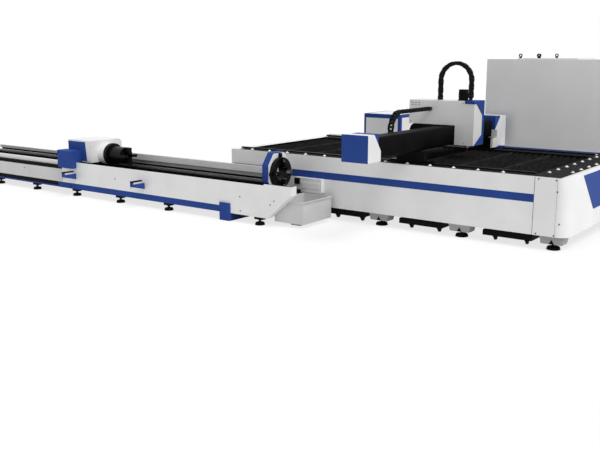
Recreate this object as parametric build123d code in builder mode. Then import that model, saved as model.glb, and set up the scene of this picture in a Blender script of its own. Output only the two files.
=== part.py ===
# Plate and tube laser cutting machine: flat bed with gantry, side tube bed with two chucks, cabinets behind.
# Lengths are in millimetres. Places are counted from the plate bed's front left corner on the floor:
# X along the bed, Y from its front panel to the back, Z up.
import os
from math import cos, degrees, radians, sin
from build123d import *

os.makedirs("parts", exist_ok=True)

# Common values
sheet = 6
slide_gap = 0.5
overrun = 20

# Plate bed
bed_length = 4500
bed_depth = 2300
bed_height = 774
bed_clear = 154
front_rim = 222
rear_rim = 339
rear_upstand = 22
left_rim = 129
right_rim = 350
end_cover_length = 305
end_flare = 75
corner_radius = 60
corner_foot_radius = 130
panel_lip = 40
frame_lift = 16
table_drop = 174
table_ledge = 60
cross_width = 100
cross_height = 250

# Plate bed feet
foot_count = 5
foot_left_inset = 187
foot_right_inset = 105
foot_row_inset = 120
bracket_top_width = 275
bracket_foot_width = 231
bracket_depth = 150
bracket_height = 104
pad_radius = 75
pad_sides = 16
stud_sides = 6
pad_height = 34
stud_radius = 14

# Blue trim on the right end
trim_thickness = 4
trim_front_inset = 610
trim_back_inset = 610
trim_top_drop = 39
trim_height = 398
trim_slant = 260

# Slat table
table_gap = 2
bar_width = 40
bar_height = 60
module_count = 8
seam_width = 12
seam_height = 150
slats_per_module = 5
slat_thickness = 5
slat_height = 115
slat_bite = 10
tooth_count = 9
tooth_depth = 26

# Ball transfers
ball_pitch = 291.5
ball_first = 332
ball_row_inset = 38
strip_gap = 5
strip_width = 305
strip_thickness = 4
strip_edge = 16
strip_row_inset = 75
strip_ball_pitch = 270
strip_row_spacing = 205
strip_ball_inset = 323
flange_radius = 22
ball_sides = 10
ball_top_radius = 6
flange_height = 5
ball_radius = 14

# Gantry rails on the bed
rail_inset = 150
rail_width = 24
rail_height = 22
rail_end = 60

# Gantry
gantry_place = 2560
beam_width = 194
beam_height = 230
beam_clear = 146
beam_round = 22
front_overhang = 1160
beam_back_inset = 230
saddle_length = 360
saddle_lead = 80
saddle_width = 90
saddle_lift = 6
block_width = 320
block_lead = 10
front_block_depth = 260
rear_block_depth = 290
block_height = 286
block_top_depth = 130
block_slant_height = 176
skirt_lead = 125
plate_thickness = 8
cap_inset = 30
beam_rail_size = 20
beam_rail_low = 55
beam_rail_spacing = 120
beam_rail_end = 20
bellows_inset = 20
bellows_rise = 8
bellows_wall = 8
bellows_reach = 46
pleat_depth = 16
pleat_pitch = 62

# Carriage on the beam
carriage_place = 920
carriage_depth = 280
cover_left_reach = 380
cover_right_reach = 306
cover_height = 532
cover_arch = 15
cover_wall = 5
cover_gap = 12
cover_lift = 8
blue_length = 122
blue_thickness = 6
blue_lip = 30
blue_band = 50
blue_foot = 15
blue_foot_rise = 122
blue_slant_height = 170
blue_slant_front = 60
runner_width = 50
runner_reach = 40
plate_width = 48
plate_end = 20
plate_lift = 12

# Lift and cutting head
head_offset = 170
head_size = 90
head_low = 90
head_height = 280
head_round = 10
cone_height = 80
cone_radius = 17
tip_height = 40
tip_radius = 20
nozzle_height = 45
nozzle_radius = 15
nozzle_tip_radius = 5
fiber_radius = 22
fiber_height = 70
lift_plate_width = 110
lift_plate_low = 80
lift_plate_height = 400
lift_arm_height = 20
lift_post_size = 40
lift_post_width = 20
lift_post_rise = 40
post_slot_gap = 10
motor_size = 94
motor_height = 134
motor_round = 12
motor_offset = 30

# Drag chains
link_pitch = 50
link_height = 50
link_width = 60
link_step = 4
chain_lead = 90
shelf_width = 130
shelf_thickness = 8
shelf_lip = 25
chain_bend_radius = 202
chain_bend_place = 175
chain_low_front = -720
chain_low_back = 560
lift_chain_span = 407
lift_chain_rise = 244

# Tube bed
tube_left_reach = 5200
tube_front = 805
tube_back = 64
tube_frame_top = 420
tube_frame_bottom = 180
tube_clear = 98
tube_rail_depth = 70
tube_frame_right = 960
chuck_seat_height = 350
chuck_seat_length = 250
trough_width = 300
trough_depth = 90
trough_end = 60
tube_split = -2600
cover_top = 489
cover_raised_top = 510
raised_start = 1195
raised_slope = 25
cover_right = 1618
slant_top = 400
slant_foot = 1260
end_return = 100
top_return = 15
cross_foot_left = 500
cross_foot_width = 180
cross_foot_height = 220
cross_foot_reach = 25
cross_foot_round = 30
left_panel_top = 370
blue_rail_left = -2700
guide_beam_front = 760
guide_beam_width = 40
guide_beam_height = 60
tube_foot_pitch = 946
tube_foot_left_reach = 4225
tube_foot_count = 5
tube_foot_last = 1115
tube_pad_radius = 62
foot_cap = 30
tube_rail_width = 25
tube_rail_height = 28
tube_rail_spacing = 420
tube_rail_end = 50
rear_cover_top = 590
rear_cover_left_top = 497
rear_cover_split = -2300
rear_cover_height = 300
rear_cover_return = 40

# Rest hooks on the tube bed
hook_left_distance = 2300
hook_pitch = 1433
hook_width = 40
hook_root_low = 246
hook_root_high = 325
hook_reach = 220
hook_nose = 25
hook_nose_low = 298
hook_nose_high = 355
hook_bar_thickness = 18
hook_bar_length = 180

# Chucks
axis_reach = 420
axis_height = 600
housing_left = 1050
housing_thickness = 85
housing_half_width = 215
housing_flat = 206
face_thickness = 8
face_inset = 12
disc_radius = 188
disc_thickness = 46
hub_radius = 140
bore_radius = 105
groove_width = 50
groove_depth = 12
jaw_reach = 60
jaw_inner = 72
jaw_length = 95
jaw_step = 40
jaw_tip_width = 26

# Rear chuck carriage
carriage_left = -2552
housing_length = 492
housing_depth = 580
housing_front = 700
housing_height = 310
housing_round = 70
base_thickness = 20
base_lift = 50
base_lead = 40
base_overhang = 15
tube_runner_width = 60
side_panel_left = 4
side_panel_length = 402
side_panel_slant = 30
side_panel_inset = 20
motor_cover_lead = 38
motor_cover_length = 330
motor_cover_top = 660
motor_cover_foot = 406
motor_cover_front = 880
motor_cover_gap = 8
motor_cover_round = 14
collar_radius = 155
collar_length = 115
rear_gap = 5
rear_disc_radius = 158
rear_disc_thickness = 60
nose_radius = 118
nose_length = 250
nose_bore = 48
spindle_radius = 60
spindle_length = 65
rear_jaw_length = 100
rear_jaw_width = 40

# Drive box on the bed front, scrap bin and slag carts
drive_lead = 155
drive_width = 405
drive_depth = 66
drive_low = 320
drive_height = 180
drive_round = 10
knob_radius = 24
knob_length = 26
knob_inset = 45
bin_left = 1262
bin_length = 438
bin_front = 690
bin_depth = 615
bin_top = 316
bin_bottom = 50
bin_wall = 6
bin_rim = 12
bin_plinth_inset = 150
cart_count = 3
cart_width = 556
cart_offset = 35
cart_front = 40
cart_length = 1880
cart_bottom = 72
cart_top = 132
cart_wall = 5
cart_rise = 0.5
wheel_radius = 34
wheel_width = 20
wheel_spread = 363
wheel_end = 140
fork_width = 40

# Cabinet and equipment box behind the bed
cabinet_left = 2490
cabinet_length = 2000
cabinet_gap = 200
cabinet_depth = 800
cabinet_height = 1948
cabinet_round = 15
door_count = 3
door_thickness = 12
door_gap = 8
plinth_height = 80
plinth_inset = 25
roof_left = 430
roof_length = 800
roof_inset = 30
roof_height = 14
eye_first = 450
eye_spacing = 260
eye_inset = 70
eye_radius = 24
eye_hole = 13
eye_stem = 18
eye_thickness = 14
box_left = 560
box_length = 640
box_gap = 120
box_depth = 680
box_height = 1130
box_round = 14
box_panel_side = 45
box_panel_low = 90
box_panel_top = 60
box_panel_thickness = 8

# Places worked out from the sizes
cabinet_front = bed_depth + cabinet_gap
box_front = bed_depth + box_gap
rear_reach = cabinet_front + cabinet_depth
bed_left = tube_left_reach - (tube_left_reach + bed_length + end_flare) / 2
bed_front = front_overhang - (front_overhang + rear_reach) / 2
datum = Plane(origin=(bed_left, bed_front, 0))
seam_x = bed_length - end_cover_length
table_right = bed_length - right_rim
table_back = bed_depth - rear_rim
frame_bottom = bed_clear + frame_lift
frame_top = bed_height - sheet
frame_inset = corner_radius / 2
bracket_low = frame_bottom - bracket_height
table_floor = bed_height - table_drop
foot_pitch = (bed_length - foot_left_inset - foot_right_inset) / (foot_count - 1)
foot_places = [foot_left_inset + index * foot_pitch for index in range(foot_count)]
rail_rows = (rail_inset, bed_depth - rail_inset)
rail_top = bed_height + rail_height
beam_right = gantry_place + beam_width
beam_bottom = bed_height + beam_clear
beam_top = beam_bottom + beam_height
beam_front = -front_overhang + front_block_depth
beam_back = bed_depth - beam_back_inset
carriage_back = carriage_place + carriage_depth
carriage_mid = (carriage_place + carriage_back) / 2
cover_left = gantry_place - cover_left_reach
cover_end = beam_right + cover_right_reach
cover_low = beam_bottom + cover_lift
cover_roof = cover_low + cover_height
carriage_front = carriage_place + plate_end
carriage_rear = carriage_back - plate_end
runner_right = beam_right + runner_reach
plate_right = runner_right + plate_width
head_x = beam_right + head_offset
head_left = head_x - head_size / 2
head_bottom = beam_bottom + head_low
lift_top = beam_bottom + lift_plate_low + lift_plate_height
post_top = cover_roof + lift_post_rise
chain_x = gantry_place - chain_lead
shelf_top = beam_bottom + shelf_thickness
chain_low_top = shelf_top + link_height
chain_high = shelf_top + link_height / 2 + 2 * chain_bend_radius
chain_mid = shelf_top + link_height / 2 + chain_bend_radius
lift_chain_right = head_x + lift_post_width
lift_chain_left = lift_chain_right - lift_chain_span
lift_chain_top = cover_roof + lift_chain_rise
tube_face = -tube_front + sheet
hook_places = (-hook_left_distance, -hook_left_distance + hook_pitch)
tube_rear = -tube_back - sheet
tube_seat_right = tube_frame_right + chuck_seat_length
drive_left = tube_frame_right + drive_lead
tube_rail_rows = (-axis_reach - tube_rail_spacing / 2, -axis_reach + tube_rail_spacing / 2)
octagon_reach = axis_height - chuck_seat_height
face_left = housing_left + housing_thickness
disc_left = face_left + face_thickness + slide_gap
disc_right = disc_left + disc_thickness
base_bottom = tube_frame_top + base_lift
base_top = base_bottom + base_thickness
carriage_right = carriage_left + housing_length
rear_disc_left = carriage_right + collar_length + rear_gap
rear_disc_right = rear_disc_left + rear_disc_thickness
nose_right = rear_disc_right + nose_length


def plan(height):
    """Level plane at a height, with the bed's own X and Y."""
    return Plane(origin=(bed_left, bed_front, height))


def front(place):
    """Upright plane facing the viewer at a place along Y: X to the right, Z up."""
    return Plane(origin=(bed_left, bed_front + place, 0), x_dir=(1, 0, 0), z_dir=(0, -1, 0))


def side(place):
    """Upright plane facing the right end at a place along X: Y to the right, Z up."""
    return Plane(origin=(bed_left + place, bed_front, 0), x_dir=(0, 1, 0), z_dir=(1, 0, 0))


def block(x, y, z, mode=Mode.ADD):
    """Block between the low and high values given for X, Y and Z."""
    with Locations(((x[0] + x[1]) / 2, (y[0] + y[1]) / 2, (z[0] + z[1]) / 2)):
        Box(x[1] - x[0], y[1] - y[0], z[1] - z[0], mode=mode)


def prism(plane, points, depth, mode=Mode.ADD):
    """Straight-sided outline on a plane, extruded along the plane's normal."""
    with BuildSketch(plane) as outline:
        with BuildLine():
            Polyline(*points, close=True)
        make_face()
    extrude(outline.sketch, amount=depth, mode=mode)


def disc(plane, x, y, radius, depth, mode=Mode.ADD):
    """Round disc or hole on a plane, extruded along the plane's normal."""
    with BuildSketch(plane) as outline:
        with Locations((x, y)):
            Circle(radius)
    extrude(outline.sketch, amount=depth, mode=mode)


def foot(place, row, radius, top):
    """Levelling foot: many-sided pad on the floor with a hexagon stud up to what it carries."""
    with BuildSketch(plan(0)) as pad:
        with Locations((place, row)):
            RegularPolygon(radius, pad_sides)
    extrude(pad.sketch, amount=pad_height)
    with BuildSketch(plan(pad_height)) as stud:
        with Locations((place, row)):
            RegularPolygon(stud_radius, stud_sides)
    extrude(stud.sketch, amount=top - pad_height)


def end_outline(height, reach, radius, inset, lead):
    """Outline of the right end cover at a height, with its reach past the bed, its corners and its inset."""
    with BuildSketch(plan(height)) as outline:
        with Locations((seam_x - lead, bed_depth / 2)):
            Rectangle(end_cover_length + lead + reach - inset, bed_depth - 2 * inset,
                      align=(Align.MIN, Align.CENTER))
        fillet(outline.vertices().group_by(Axis.X)[-1], radius - inset)
    return outline.sketch


def octagon(half_width, half_height, flat):
    """Points of a bevelled outline about the chuck axis, with flats of one length on its four sides."""
    half = flat / 2
    corners = ((half, half_height), (half_width, half), (half_width, -half), (half, -half_height),
               (-half, -half_height), (-half_width, -half), (-half_width, half), (-half, half_height))
    return [(y - axis_reach, z + axis_height) for y, z in corners]


def link(plane, x, y, angle, outer):
    """One chain link centred on the middle plane of its chain: outer and inner links take turns."""
    step = 0 if outer else link_step
    with BuildSketch(plane) as outline:
        with Locations(Location((x, y), angle)):
            Rectangle(link_pitch + link_step, link_height - 2 * step)
    extrude(outline.sketch, amount=link_width / 2 - step, both=True)


# Bed frame: a welded ring under the rims, with cross members over the feet, a ledge for the table
# and tapered brackets below for the levelling feet
with BuildPart(datum) as bed_frame:
    block((frame_inset, bed_length - frame_inset), (frame_inset, bed_depth - frame_inset),
          (frame_bottom, frame_top))
    block((left_rim + table_ledge, table_right - table_ledge),
          (front_rim + table_ledge, table_back - table_ledge),
          (frame_bottom - overrun, frame_top + overrun), Mode.SUBTRACT)
    block((left_rim, table_right), (front_rim, table_back), (table_floor, frame_top + overrun),
          Mode.SUBTRACT)
    for place in foot_places[1:-1]:
        block((place - cross_width / 2, place + cross_width / 2), (front_rim, table_back),
              (frame_bottom, frame_bottom + cross_height))
    for row in (foot_row_inset, bed_depth - foot_row_inset):
        for place in foot_places:
            prism(front(row + bracket_depth / 2),
                  [(place - bracket_top_width / 2, frame_bottom),
                   (place + bracket_top_width / 2, frame_bottom),
                   (place + bracket_foot_width / 2, bracket_low),
                   (place - bracket_foot_width / 2, bracket_low)],
                  bracket_depth)
bed_frame.part.label = "bed_frame"
export_step(bed_frame.part, "parts/bed_frame.step")

# Front panel: folded sheet with the front rim as its top
with BuildPart() as bed_front_panel:
    with BuildSketch(side(0)):
        with BuildLine():
            Polyline((0, bed_clear), (0, bed_height), (front_rim, bed_height), (front_rim, frame_top),
                     (sheet, frame_top), (sheet, bed_clear + sheet), (panel_lip, bed_clear + sheet),
                     (panel_lip, bed_clear), close=True)
        make_face()
    extrude(amount=seam_x)
bed_front_panel.part.label = "bed_front_panel"
export_step(bed_front_panel.part, "parts/bed_front_panel.step")

# Rear panel: the same fold at the back, with the wider rear rim and a low upstand along its edge
with BuildPart() as bed_rear_panel:
    with BuildSketch(side(0)):
        with BuildLine():
            Polyline((bed_depth, bed_clear), (bed_depth, bed_height + rear_upstand),
                     (bed_depth - sheet, bed_height + rear_upstand), (bed_depth - sheet, bed_height),
                     (table_back, bed_height), (table_back, frame_top),
                     (bed_depth - sheet, frame_top), (bed_depth - sheet, bed_clear + sheet),
                     (bed_depth - panel_lip, bed_clear + sheet), (bed_depth - panel_lip, bed_clear),
                     close=True)
        make_face()
    extrude(amount=seam_x)
bed_rear_panel.part.label = "bed_rear_panel"
export_step(bed_rear_panel.part, "parts/bed_rear_panel.step")

# Left end panel: wall between the long panels, with the left rim on top
with BuildPart(datum) as bed_left_panel:
    block((0, sheet), (sheet, bed_depth - sheet), (bed_clear + sheet, frame_top))
    block((0, left_rim), (front_rim, table_back), (frame_top, bed_height))
bed_left_panel.part.label = "bed_left_panel"
export_step(bed_left_panel.part, "parts/bed_left_panel.step")

# Right end cover: front, end and back walls with coned corners, flared towards the floor, and the right rim
frame_flare = end_flare * (bed_height - frame_top) / (bed_height - bed_clear)
with BuildPart(datum) as bed_end_cover:
    loft([end_outline(bed_clear, end_flare, corner_foot_radius, 0, 0),
          end_outline(bed_height, 0, corner_radius, 0, 0)], ruled=True)
    loft([end_outline(bed_clear, end_flare, corner_foot_radius, sheet, overrun),
          end_outline(frame_top, frame_flare, corner_radius, sheet, overrun)],
         ruled=True, mode=Mode.SUBTRACT)
    block((table_right, seam_x + overrun), (front_rim, table_back), (frame_top, bed_height))
bed_end_cover.part.label = "bed_end_cover"
export_step(bed_end_cover.part, "parts/bed_end_cover.step")

# Blue trim on the flared right end, with slanted ends
end_face = Plane(origin=(bed_left + bed_length, bed_front, bed_height), x_dir=(0, 1, 0),
                 z_dir=(bed_height - bed_clear, 0, end_flare))
with BuildPart() as bed_end_trim:
    prism(end_face,
          [(trim_front_inset, -trim_top_drop), (bed_depth - trim_back_inset, -trim_top_drop),
           (bed_depth - trim_back_inset - trim_slant, -trim_top_drop - trim_height),
           (trim_front_inset + trim_slant, -trim_top_drop - trim_height)], trim_thickness)
bed_end_trim.part.label = "bed_end_trim"
export_step(bed_end_trim.part, "parts/bed_end_trim.step")

# Levelling feet of the plate bed: round pad with its stud
with BuildPart() as bed_feet:
    for row in (foot_row_inset, bed_depth - foot_row_inset):
        for place in foot_places:
            foot(place, row, pad_radius, bracket_low)
bed_feet.part.label = "bed_feet"
export_step(bed_feet.part, "parts/bed_feet.step")

# Slat table: bar frame, seam plates between modules and saw-tooth slats across the bars
table_x = (left_rim + table_gap, table_right - table_gap)
table_y = (front_rim + table_gap, table_back - table_gap)
bar_top = table_floor + bar_height
module_length = (table_x[1] - table_x[0]) / module_count
slat_pitch = module_length / (slats_per_module + 1)
slat_bottom = bar_top - slat_bite
slat_top = slat_bottom + slat_height
tooth_pitch = (table_y[1] - table_y[0]) / tooth_count
slat_points = [(table_y[0], slat_bottom), (table_y[0], slat_top - tooth_depth)]
for tooth in range(tooth_count):
    slat_points.append((table_y[0] + (tooth + 1 / 2) * tooth_pitch, slat_top))
    slat_points.append((table_y[0] + (tooth + 1) * tooth_pitch, slat_top - tooth_depth))
slat_points.append((table_y[1], slat_bottom))
with BuildPart() as slat:
    prism(Plane.YZ, slat_points, slat_thickness)
slat_places = []
for module in range(module_count):
    for index in range(slats_per_module):
        place = table_x[0] + module * module_length + (index + 1) * slat_pitch - slat_thickness / 2
        slat_places.append((place, 0, 0))
with BuildPart(datum) as slat_table:
    block(table_x, table_y, (table_floor, bar_top))
    for half in ((table_y[0] + bar_width, (table_y[0] + table_y[1] - bar_width) / 2),
                 ((table_y[0] + table_y[1] + bar_width) / 2, table_y[1] - bar_width)):
        block((table_x[0] + bar_width, table_x[1] - bar_width), half,
              (table_floor - overrun, bar_top + overrun),
              Mode.SUBTRACT)
    for module in range(1, module_count):
        place = table_x[0] + module * module_length
        block((place - seam_width / 2, place + seam_width / 2), table_y,
              (table_floor, table_floor + seam_height))
    with Locations(*slat_places):
        add(slat.part)
slat_table.part.label = "slat_table"
export_step(slat_table.part, "parts/slat_table.step")

# Black strips on the rims: across the right end and along the rails
strip_x = (table_right + strip_gap, table_right + strip_gap + strip_width)
strip_top = bed_height + strip_thickness
rail_half = rail_width / 2 + slide_gap
with BuildPart(datum) as end_strip:
    block(strip_x, (strip_edge, bed_depth - strip_edge), (bed_height, strip_top))
    for strip_y in ((strip_edge, rail_rows[0] - rail_half), (rail_rows[0] + rail_half, front_rim),
                    (table_back, rail_rows[1] - rail_half)):
        block((left_rim, strip_x[0]), strip_y, (bed_height, strip_top))
end_strip.part.label = "end_strip"
export_step(end_strip.part, "parts/end_strip.step")

# Ball transfers: one row along the front rim and two at the right end, each a flange with a dome
with BuildPart() as ball:
    with BuildSketch():
        RegularPolygon(flange_radius, ball_sides)
    extrude(amount=flange_height)
    with BuildSketch(Plane.XY.offset(flange_height)):
        RegularPolygon(ball_radius, ball_sides)
    with BuildSketch(Plane.XY.offset(flange_height + ball_radius)):
        RegularPolygon(ball_top_radius, ball_sides)
    loft(ruled=True)
ball_count = int((table_right - ball_first) / ball_pitch)
ball_places = [(ball_first + index * ball_pitch, ball_row_inset, strip_top) for index in range(ball_count)]
strip_count = int((bed_depth - 2 * strip_ball_inset) / strip_ball_pitch) + 1
for row, lead, count in ((0, 0, strip_count), (strip_row_spacing, strip_ball_pitch / 2, strip_count - 1)):
    for index in range(count):
        ball_places.append((strip_x[0] + strip_row_inset + row,
                            strip_ball_inset + lead + index * strip_ball_pitch, strip_top))
with BuildPart(datum) as ball_transfers:
    with Locations(*ball_places):
        add(ball.part)
ball_transfers.part.label = "ball_transfers"
export_step(ball_transfers.part, "parts/ball_transfers.step")

# Gantry rails on the front and rear rims
with BuildPart(datum) as gantry_rails:
    for row in rail_rows:
        block((rail_end, table_right), (row - rail_width / 2, row + rail_width / 2),
              (bed_height, rail_top))
gantry_rails.part.label = "gantry_rails"
export_step(gantry_rails.part, "parts/gantry_rails.step")

# Gantry beam: rounded box beam with a shelf for the drag chain on its left side
with BuildPart(datum) as gantry_beam:
    with BuildSketch(front(beam_back)) as section:
        with Locations(((gantry_place + beam_right) / 2, (beam_bottom + beam_top) / 2)):
            Rectangle(beam_width, beam_height)
        fillet(section.vertices().group_by(Axis.X)[-1], beam_round)
    extrude(amount=beam_back - beam_front)
    block((gantry_place - shelf_width, gantry_place), (beam_front, beam_back), (beam_bottom, shelf_top))
    block((gantry_place - shelf_width, gantry_place - shelf_width + shelf_thickness),
          (beam_front, beam_back), (shelf_top, shelf_top + shelf_lip))
gantry_beam.part.label = "gantry_beam"
export_step(gantry_beam.part, "parts/gantry_beam.step")

# Saddles: carry the beam on the bed rails
saddle_x = (gantry_place - saddle_lead, gantry_place - saddle_lead + saddle_length)
with BuildPart(datum) as gantry_saddles:
    for row in rail_rows:
        block(saddle_x, (row - saddle_width / 2, row + saddle_width / 2),
              (bed_height + saddle_lift, beam_bottom))
        block((saddle_x[0] - overrun, saddle_x[1] + overrun), (row - rail_half, row + rail_half),
              (bed_height, rail_top + slide_gap), Mode.SUBTRACT)
gantry_saddles.part.label = "gantry_saddles"
export_step(gantry_saddles.part, "parts/gantry_saddles.step")

# End covers of the beam: white, with a slanted inner edge at the top, and a skirt beside the rear saddle
block_left = gantry_place - block_lead
block_top = beam_bottom + block_height
front_end = -front_overhang
rear_end = beam_back + rear_block_depth
slant_low = block_top - block_slant_height
with BuildPart(datum) as end_covers:
    prism(side(block_left),
          [(front_end + plate_thickness, beam_bottom), (front_end + plate_thickness, block_top),
           (front_end + block_top_depth, block_top), (beam_front, slant_low),
           (beam_front, beam_bottom)], block_width)
    prism(side(block_left),
          [(rear_end - plate_thickness, beam_bottom), (rear_end - plate_thickness, block_top),
           (rear_end - block_top_depth, block_top), (beam_back, slant_low),
           (beam_back, beam_bottom)], block_width)
    block((saddle_x[1], block_left + block_width), (beam_back - skirt_lead, rear_end - plate_thickness),
          (rail_top + saddle_lift, beam_bottom))
end_covers.part.label = "end_covers"
export_step(end_covers.part, "parts/end_covers.step")

# End plates: blue faces of the end covers and the blue caps behind the slanted edges
with BuildPart(datum) as end_plates:
    block((block_left, block_left + block_width), (front_end, front_end + plate_thickness),
          (beam_bottom, block_top))
    block((block_left, block_left + block_width), (rear_end - plate_thickness, rear_end),
          (beam_bottom, block_top))
    prism(side(block_left + cap_inset),
          [(front_end + block_top_depth, block_top), (beam_front, block_top),
                                         (beam_front, slant_low)], block_width - 2 * cap_inset)
    prism(side(block_left + cap_inset), [(rear_end - block_top_depth, block_top), (beam_back, block_top),
                                         (beam_back, slant_low)], block_width - 2 * cap_inset)
end_plates.part.label = "end_plates"
export_step(end_plates.part, "parts/end_plates.step")

# Rails on the right side of the beam
beam_rail_rows = (beam_bottom + beam_rail_low, beam_bottom + beam_rail_low + beam_rail_spacing)
with BuildPart(datum) as beam_rails:
    for row in beam_rail_rows:
        block((beam_right, beam_right + beam_rail_size),
              (beam_front + beam_rail_end, beam_back - beam_rail_end),
              (row, row + beam_rail_size))
beam_rails.part.label = "beam_rails"
export_step(beam_rails.part, "parts/beam_rails.step")

# Bellows over the beam rails, before and behind the carriage
bellows_low = beam_bottom + bellows_inset
bellows_high = beam_top + bellows_rise
for name, start, end in (("bellows_front", beam_front, carriage_front - slide_gap),
                         ("bellows_rear", carriage_rear + slide_gap, beam_back)):
    pleats = max(1, round((end - start) / pleat_pitch))
    step = (end - start) / pleats
    crest = beam_right + bellows_reach
    points = [(beam_right, start), (crest - pleat_depth, start)]
    for index in range(pleats):
        points.append((crest, start + (index + 1 / 2) * step))
        points.append((crest - pleat_depth, start + (index + 1) * step))
    points.append((beam_right, end))
    with BuildPart(datum) as bellows:
        prism(plan(bellows_low), points, bellows_high - bellows_low)
        block((beam_right - overrun, crest - pleat_depth - bellows_wall),
              (start - overrun, end + overrun),
              (bellows_low + bellows_wall, bellows_high - bellows_wall), Mode.SUBTRACT)
    bellows.part.label = name
    export_step(bellows.part, f"parts/{name}.step")

# Carriage plate with its runners on the beam rails
with BuildPart(datum) as carriage_plate:
    block((runner_right, plate_right), (carriage_front, carriage_rear),
          (beam_bottom + plate_lift, cover_roof - cover_wall))
    for row in beam_rail_rows:
        middle = row + beam_rail_size / 2
        block((beam_right + slide_gap, runner_right), (carriage_front, carriage_rear),
              (middle - runner_width / 2, middle + runner_width / 2))
        block((beam_right, beam_right + beam_rail_size + slide_gap),
              (carriage_front - overrun, carriage_rear + overrun),
              (row - slide_gap, row + beam_rail_size + slide_gap), Mode.SUBTRACT)
carriage_plate.part.label = "carriage_plate"
export_step(carriage_plate.part, "parts/carriage_plate.step")

# Carriage cover: shell open below that bridges the beam and comes down on its right side
leg_left = beam_right + bellows_reach + cover_gap
arch_low = beam_top + cover_arch
slot_x = (head_x - post_slot_gap, head_x + lift_post_size + post_slot_gap)
slot_half = lift_post_width / 2 + post_slot_gap
slot_y = (carriage_mid - slot_half, carriage_mid + slot_half)
slot_z = (cover_roof - overrun, cover_roof + overrun)
with BuildPart(datum) as carriage_cover:
    block((cover_left, cover_end), (carriage_place, carriage_back), (cover_low, cover_roof))
    block((cover_left + cover_wall, cover_end - cover_wall),
          (carriage_place + cover_wall, carriage_back - cover_wall),
          (cover_low - overrun, cover_roof - cover_wall), Mode.SUBTRACT)
    block((cover_left - overrun, leg_left), (carriage_place - overrun, carriage_back + overrun),
          (cover_low - overrun, arch_low), Mode.SUBTRACT)
    block(slot_x, slot_y, slot_z, Mode.SUBTRACT)
carriage_cover.part.label = "carriage_cover"
export_step(carriage_cover.part, "parts/carriage_cover.step")

# Blue trim round the right side of the carriage cover: band on the side, cap on the roof, lip at the front
trim_x = (cover_end - blue_length, cover_end + blue_thickness)
band_front = carriage_back - blue_band
lip_low = cover_roof - blue_lip
with BuildPart(datum) as carriage_trim:
    prism(side(cover_end),
          [(carriage_place, lip_low), (carriage_place, cover_roof), (carriage_back, cover_roof),
           (carriage_back, cover_low), (carriage_place + blue_foot, cover_low),
           (band_front, cover_low + blue_foot_rise), (band_front, cover_roof - blue_slant_height),
           (carriage_place + blue_slant_front, lip_low)], blue_thickness)
    block(trim_x, (carriage_place, carriage_back), (cover_roof, cover_roof + blue_thickness))
    block(trim_x, (carriage_place - blue_thickness, carriage_place), (lip_low, cover_roof + blue_thickness))
    block(slot_x, slot_y, slot_z, Mode.SUBTRACT)
carriage_trim.part.label = "carriage_trim"
export_step(carriage_trim.part, "parts/carriage_trim.step")

# Lift motor on top of the carriage
motor_x = (head_x - motor_offset - motor_size, head_x - motor_offset)
with BuildPart(datum) as lift_motor:
    block(motor_x, (carriage_mid - motor_size / 2, carriage_mid + motor_size / 2),
          (cover_roof, cover_roof + motor_height))
    fillet(lift_motor.edges().filter_by(Axis.Z), motor_round)
lift_motor.part.label = "lift_motor"
export_step(lift_motor.part, "parts/lift_motor.step")

# Lift slide: plate that carries the head, with an arm and post up to the upright drag chain
with BuildPart(datum) as lift_slide:
    block((plate_right + slide_gap, head_left),
          (carriage_mid - lift_plate_width / 2, carriage_mid + lift_plate_width / 2),
          (beam_bottom + lift_plate_low, lift_top))
    post_y = (carriage_mid - lift_post_width / 2, carriage_mid + lift_post_width / 2)
    block((plate_right + slide_gap, head_x + lift_post_size), post_y,
          (lift_top - lift_arm_height, lift_top))
    block((head_x, head_x + lift_post_size), post_y, (lift_top - lift_arm_height, post_top))
lift_slide.part.label = "lift_slide"
export_step(lift_slide.part, "parts/lift_slide.step")

# Cutting head: square body, cone and tip below, fiber socket on top
with BuildPart(datum) as cutting_head:
    block((head_left, head_left + head_size),
          (carriage_mid - head_size / 2, carriage_mid + head_size / 2),
          (head_bottom, head_bottom + head_height))
    fillet(cutting_head.edges().filter_by(Axis.Z), head_round)
    with Locations((head_x, carriage_mid, head_bottom - cone_height / 2)):
        Cone(cone_radius, head_size / 2, cone_height)
    disc(plan(head_bottom - cone_height - tip_height), head_x, carriage_mid, tip_radius, tip_height)
    disc(plan(head_bottom + head_height), head_x - head_round, carriage_mid, fiber_radius, fiber_height)
cutting_head.part.label = "cutting_head"
export_step(cutting_head.part, "parts/cutting_head.step")

# Nozzle at the tip of the head
nozzle_top = head_bottom - cone_height - tip_height
with BuildPart(datum) as nozzle:
    with Locations((head_x, carriage_mid, nozzle_top - nozzle_height / 2)):
        Cone(nozzle_tip_radius, nozzle_radius, nozzle_height)
nozzle.part.label = "nozzle"
export_step(nozzle.part, "parts/nozzle.step")

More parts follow.
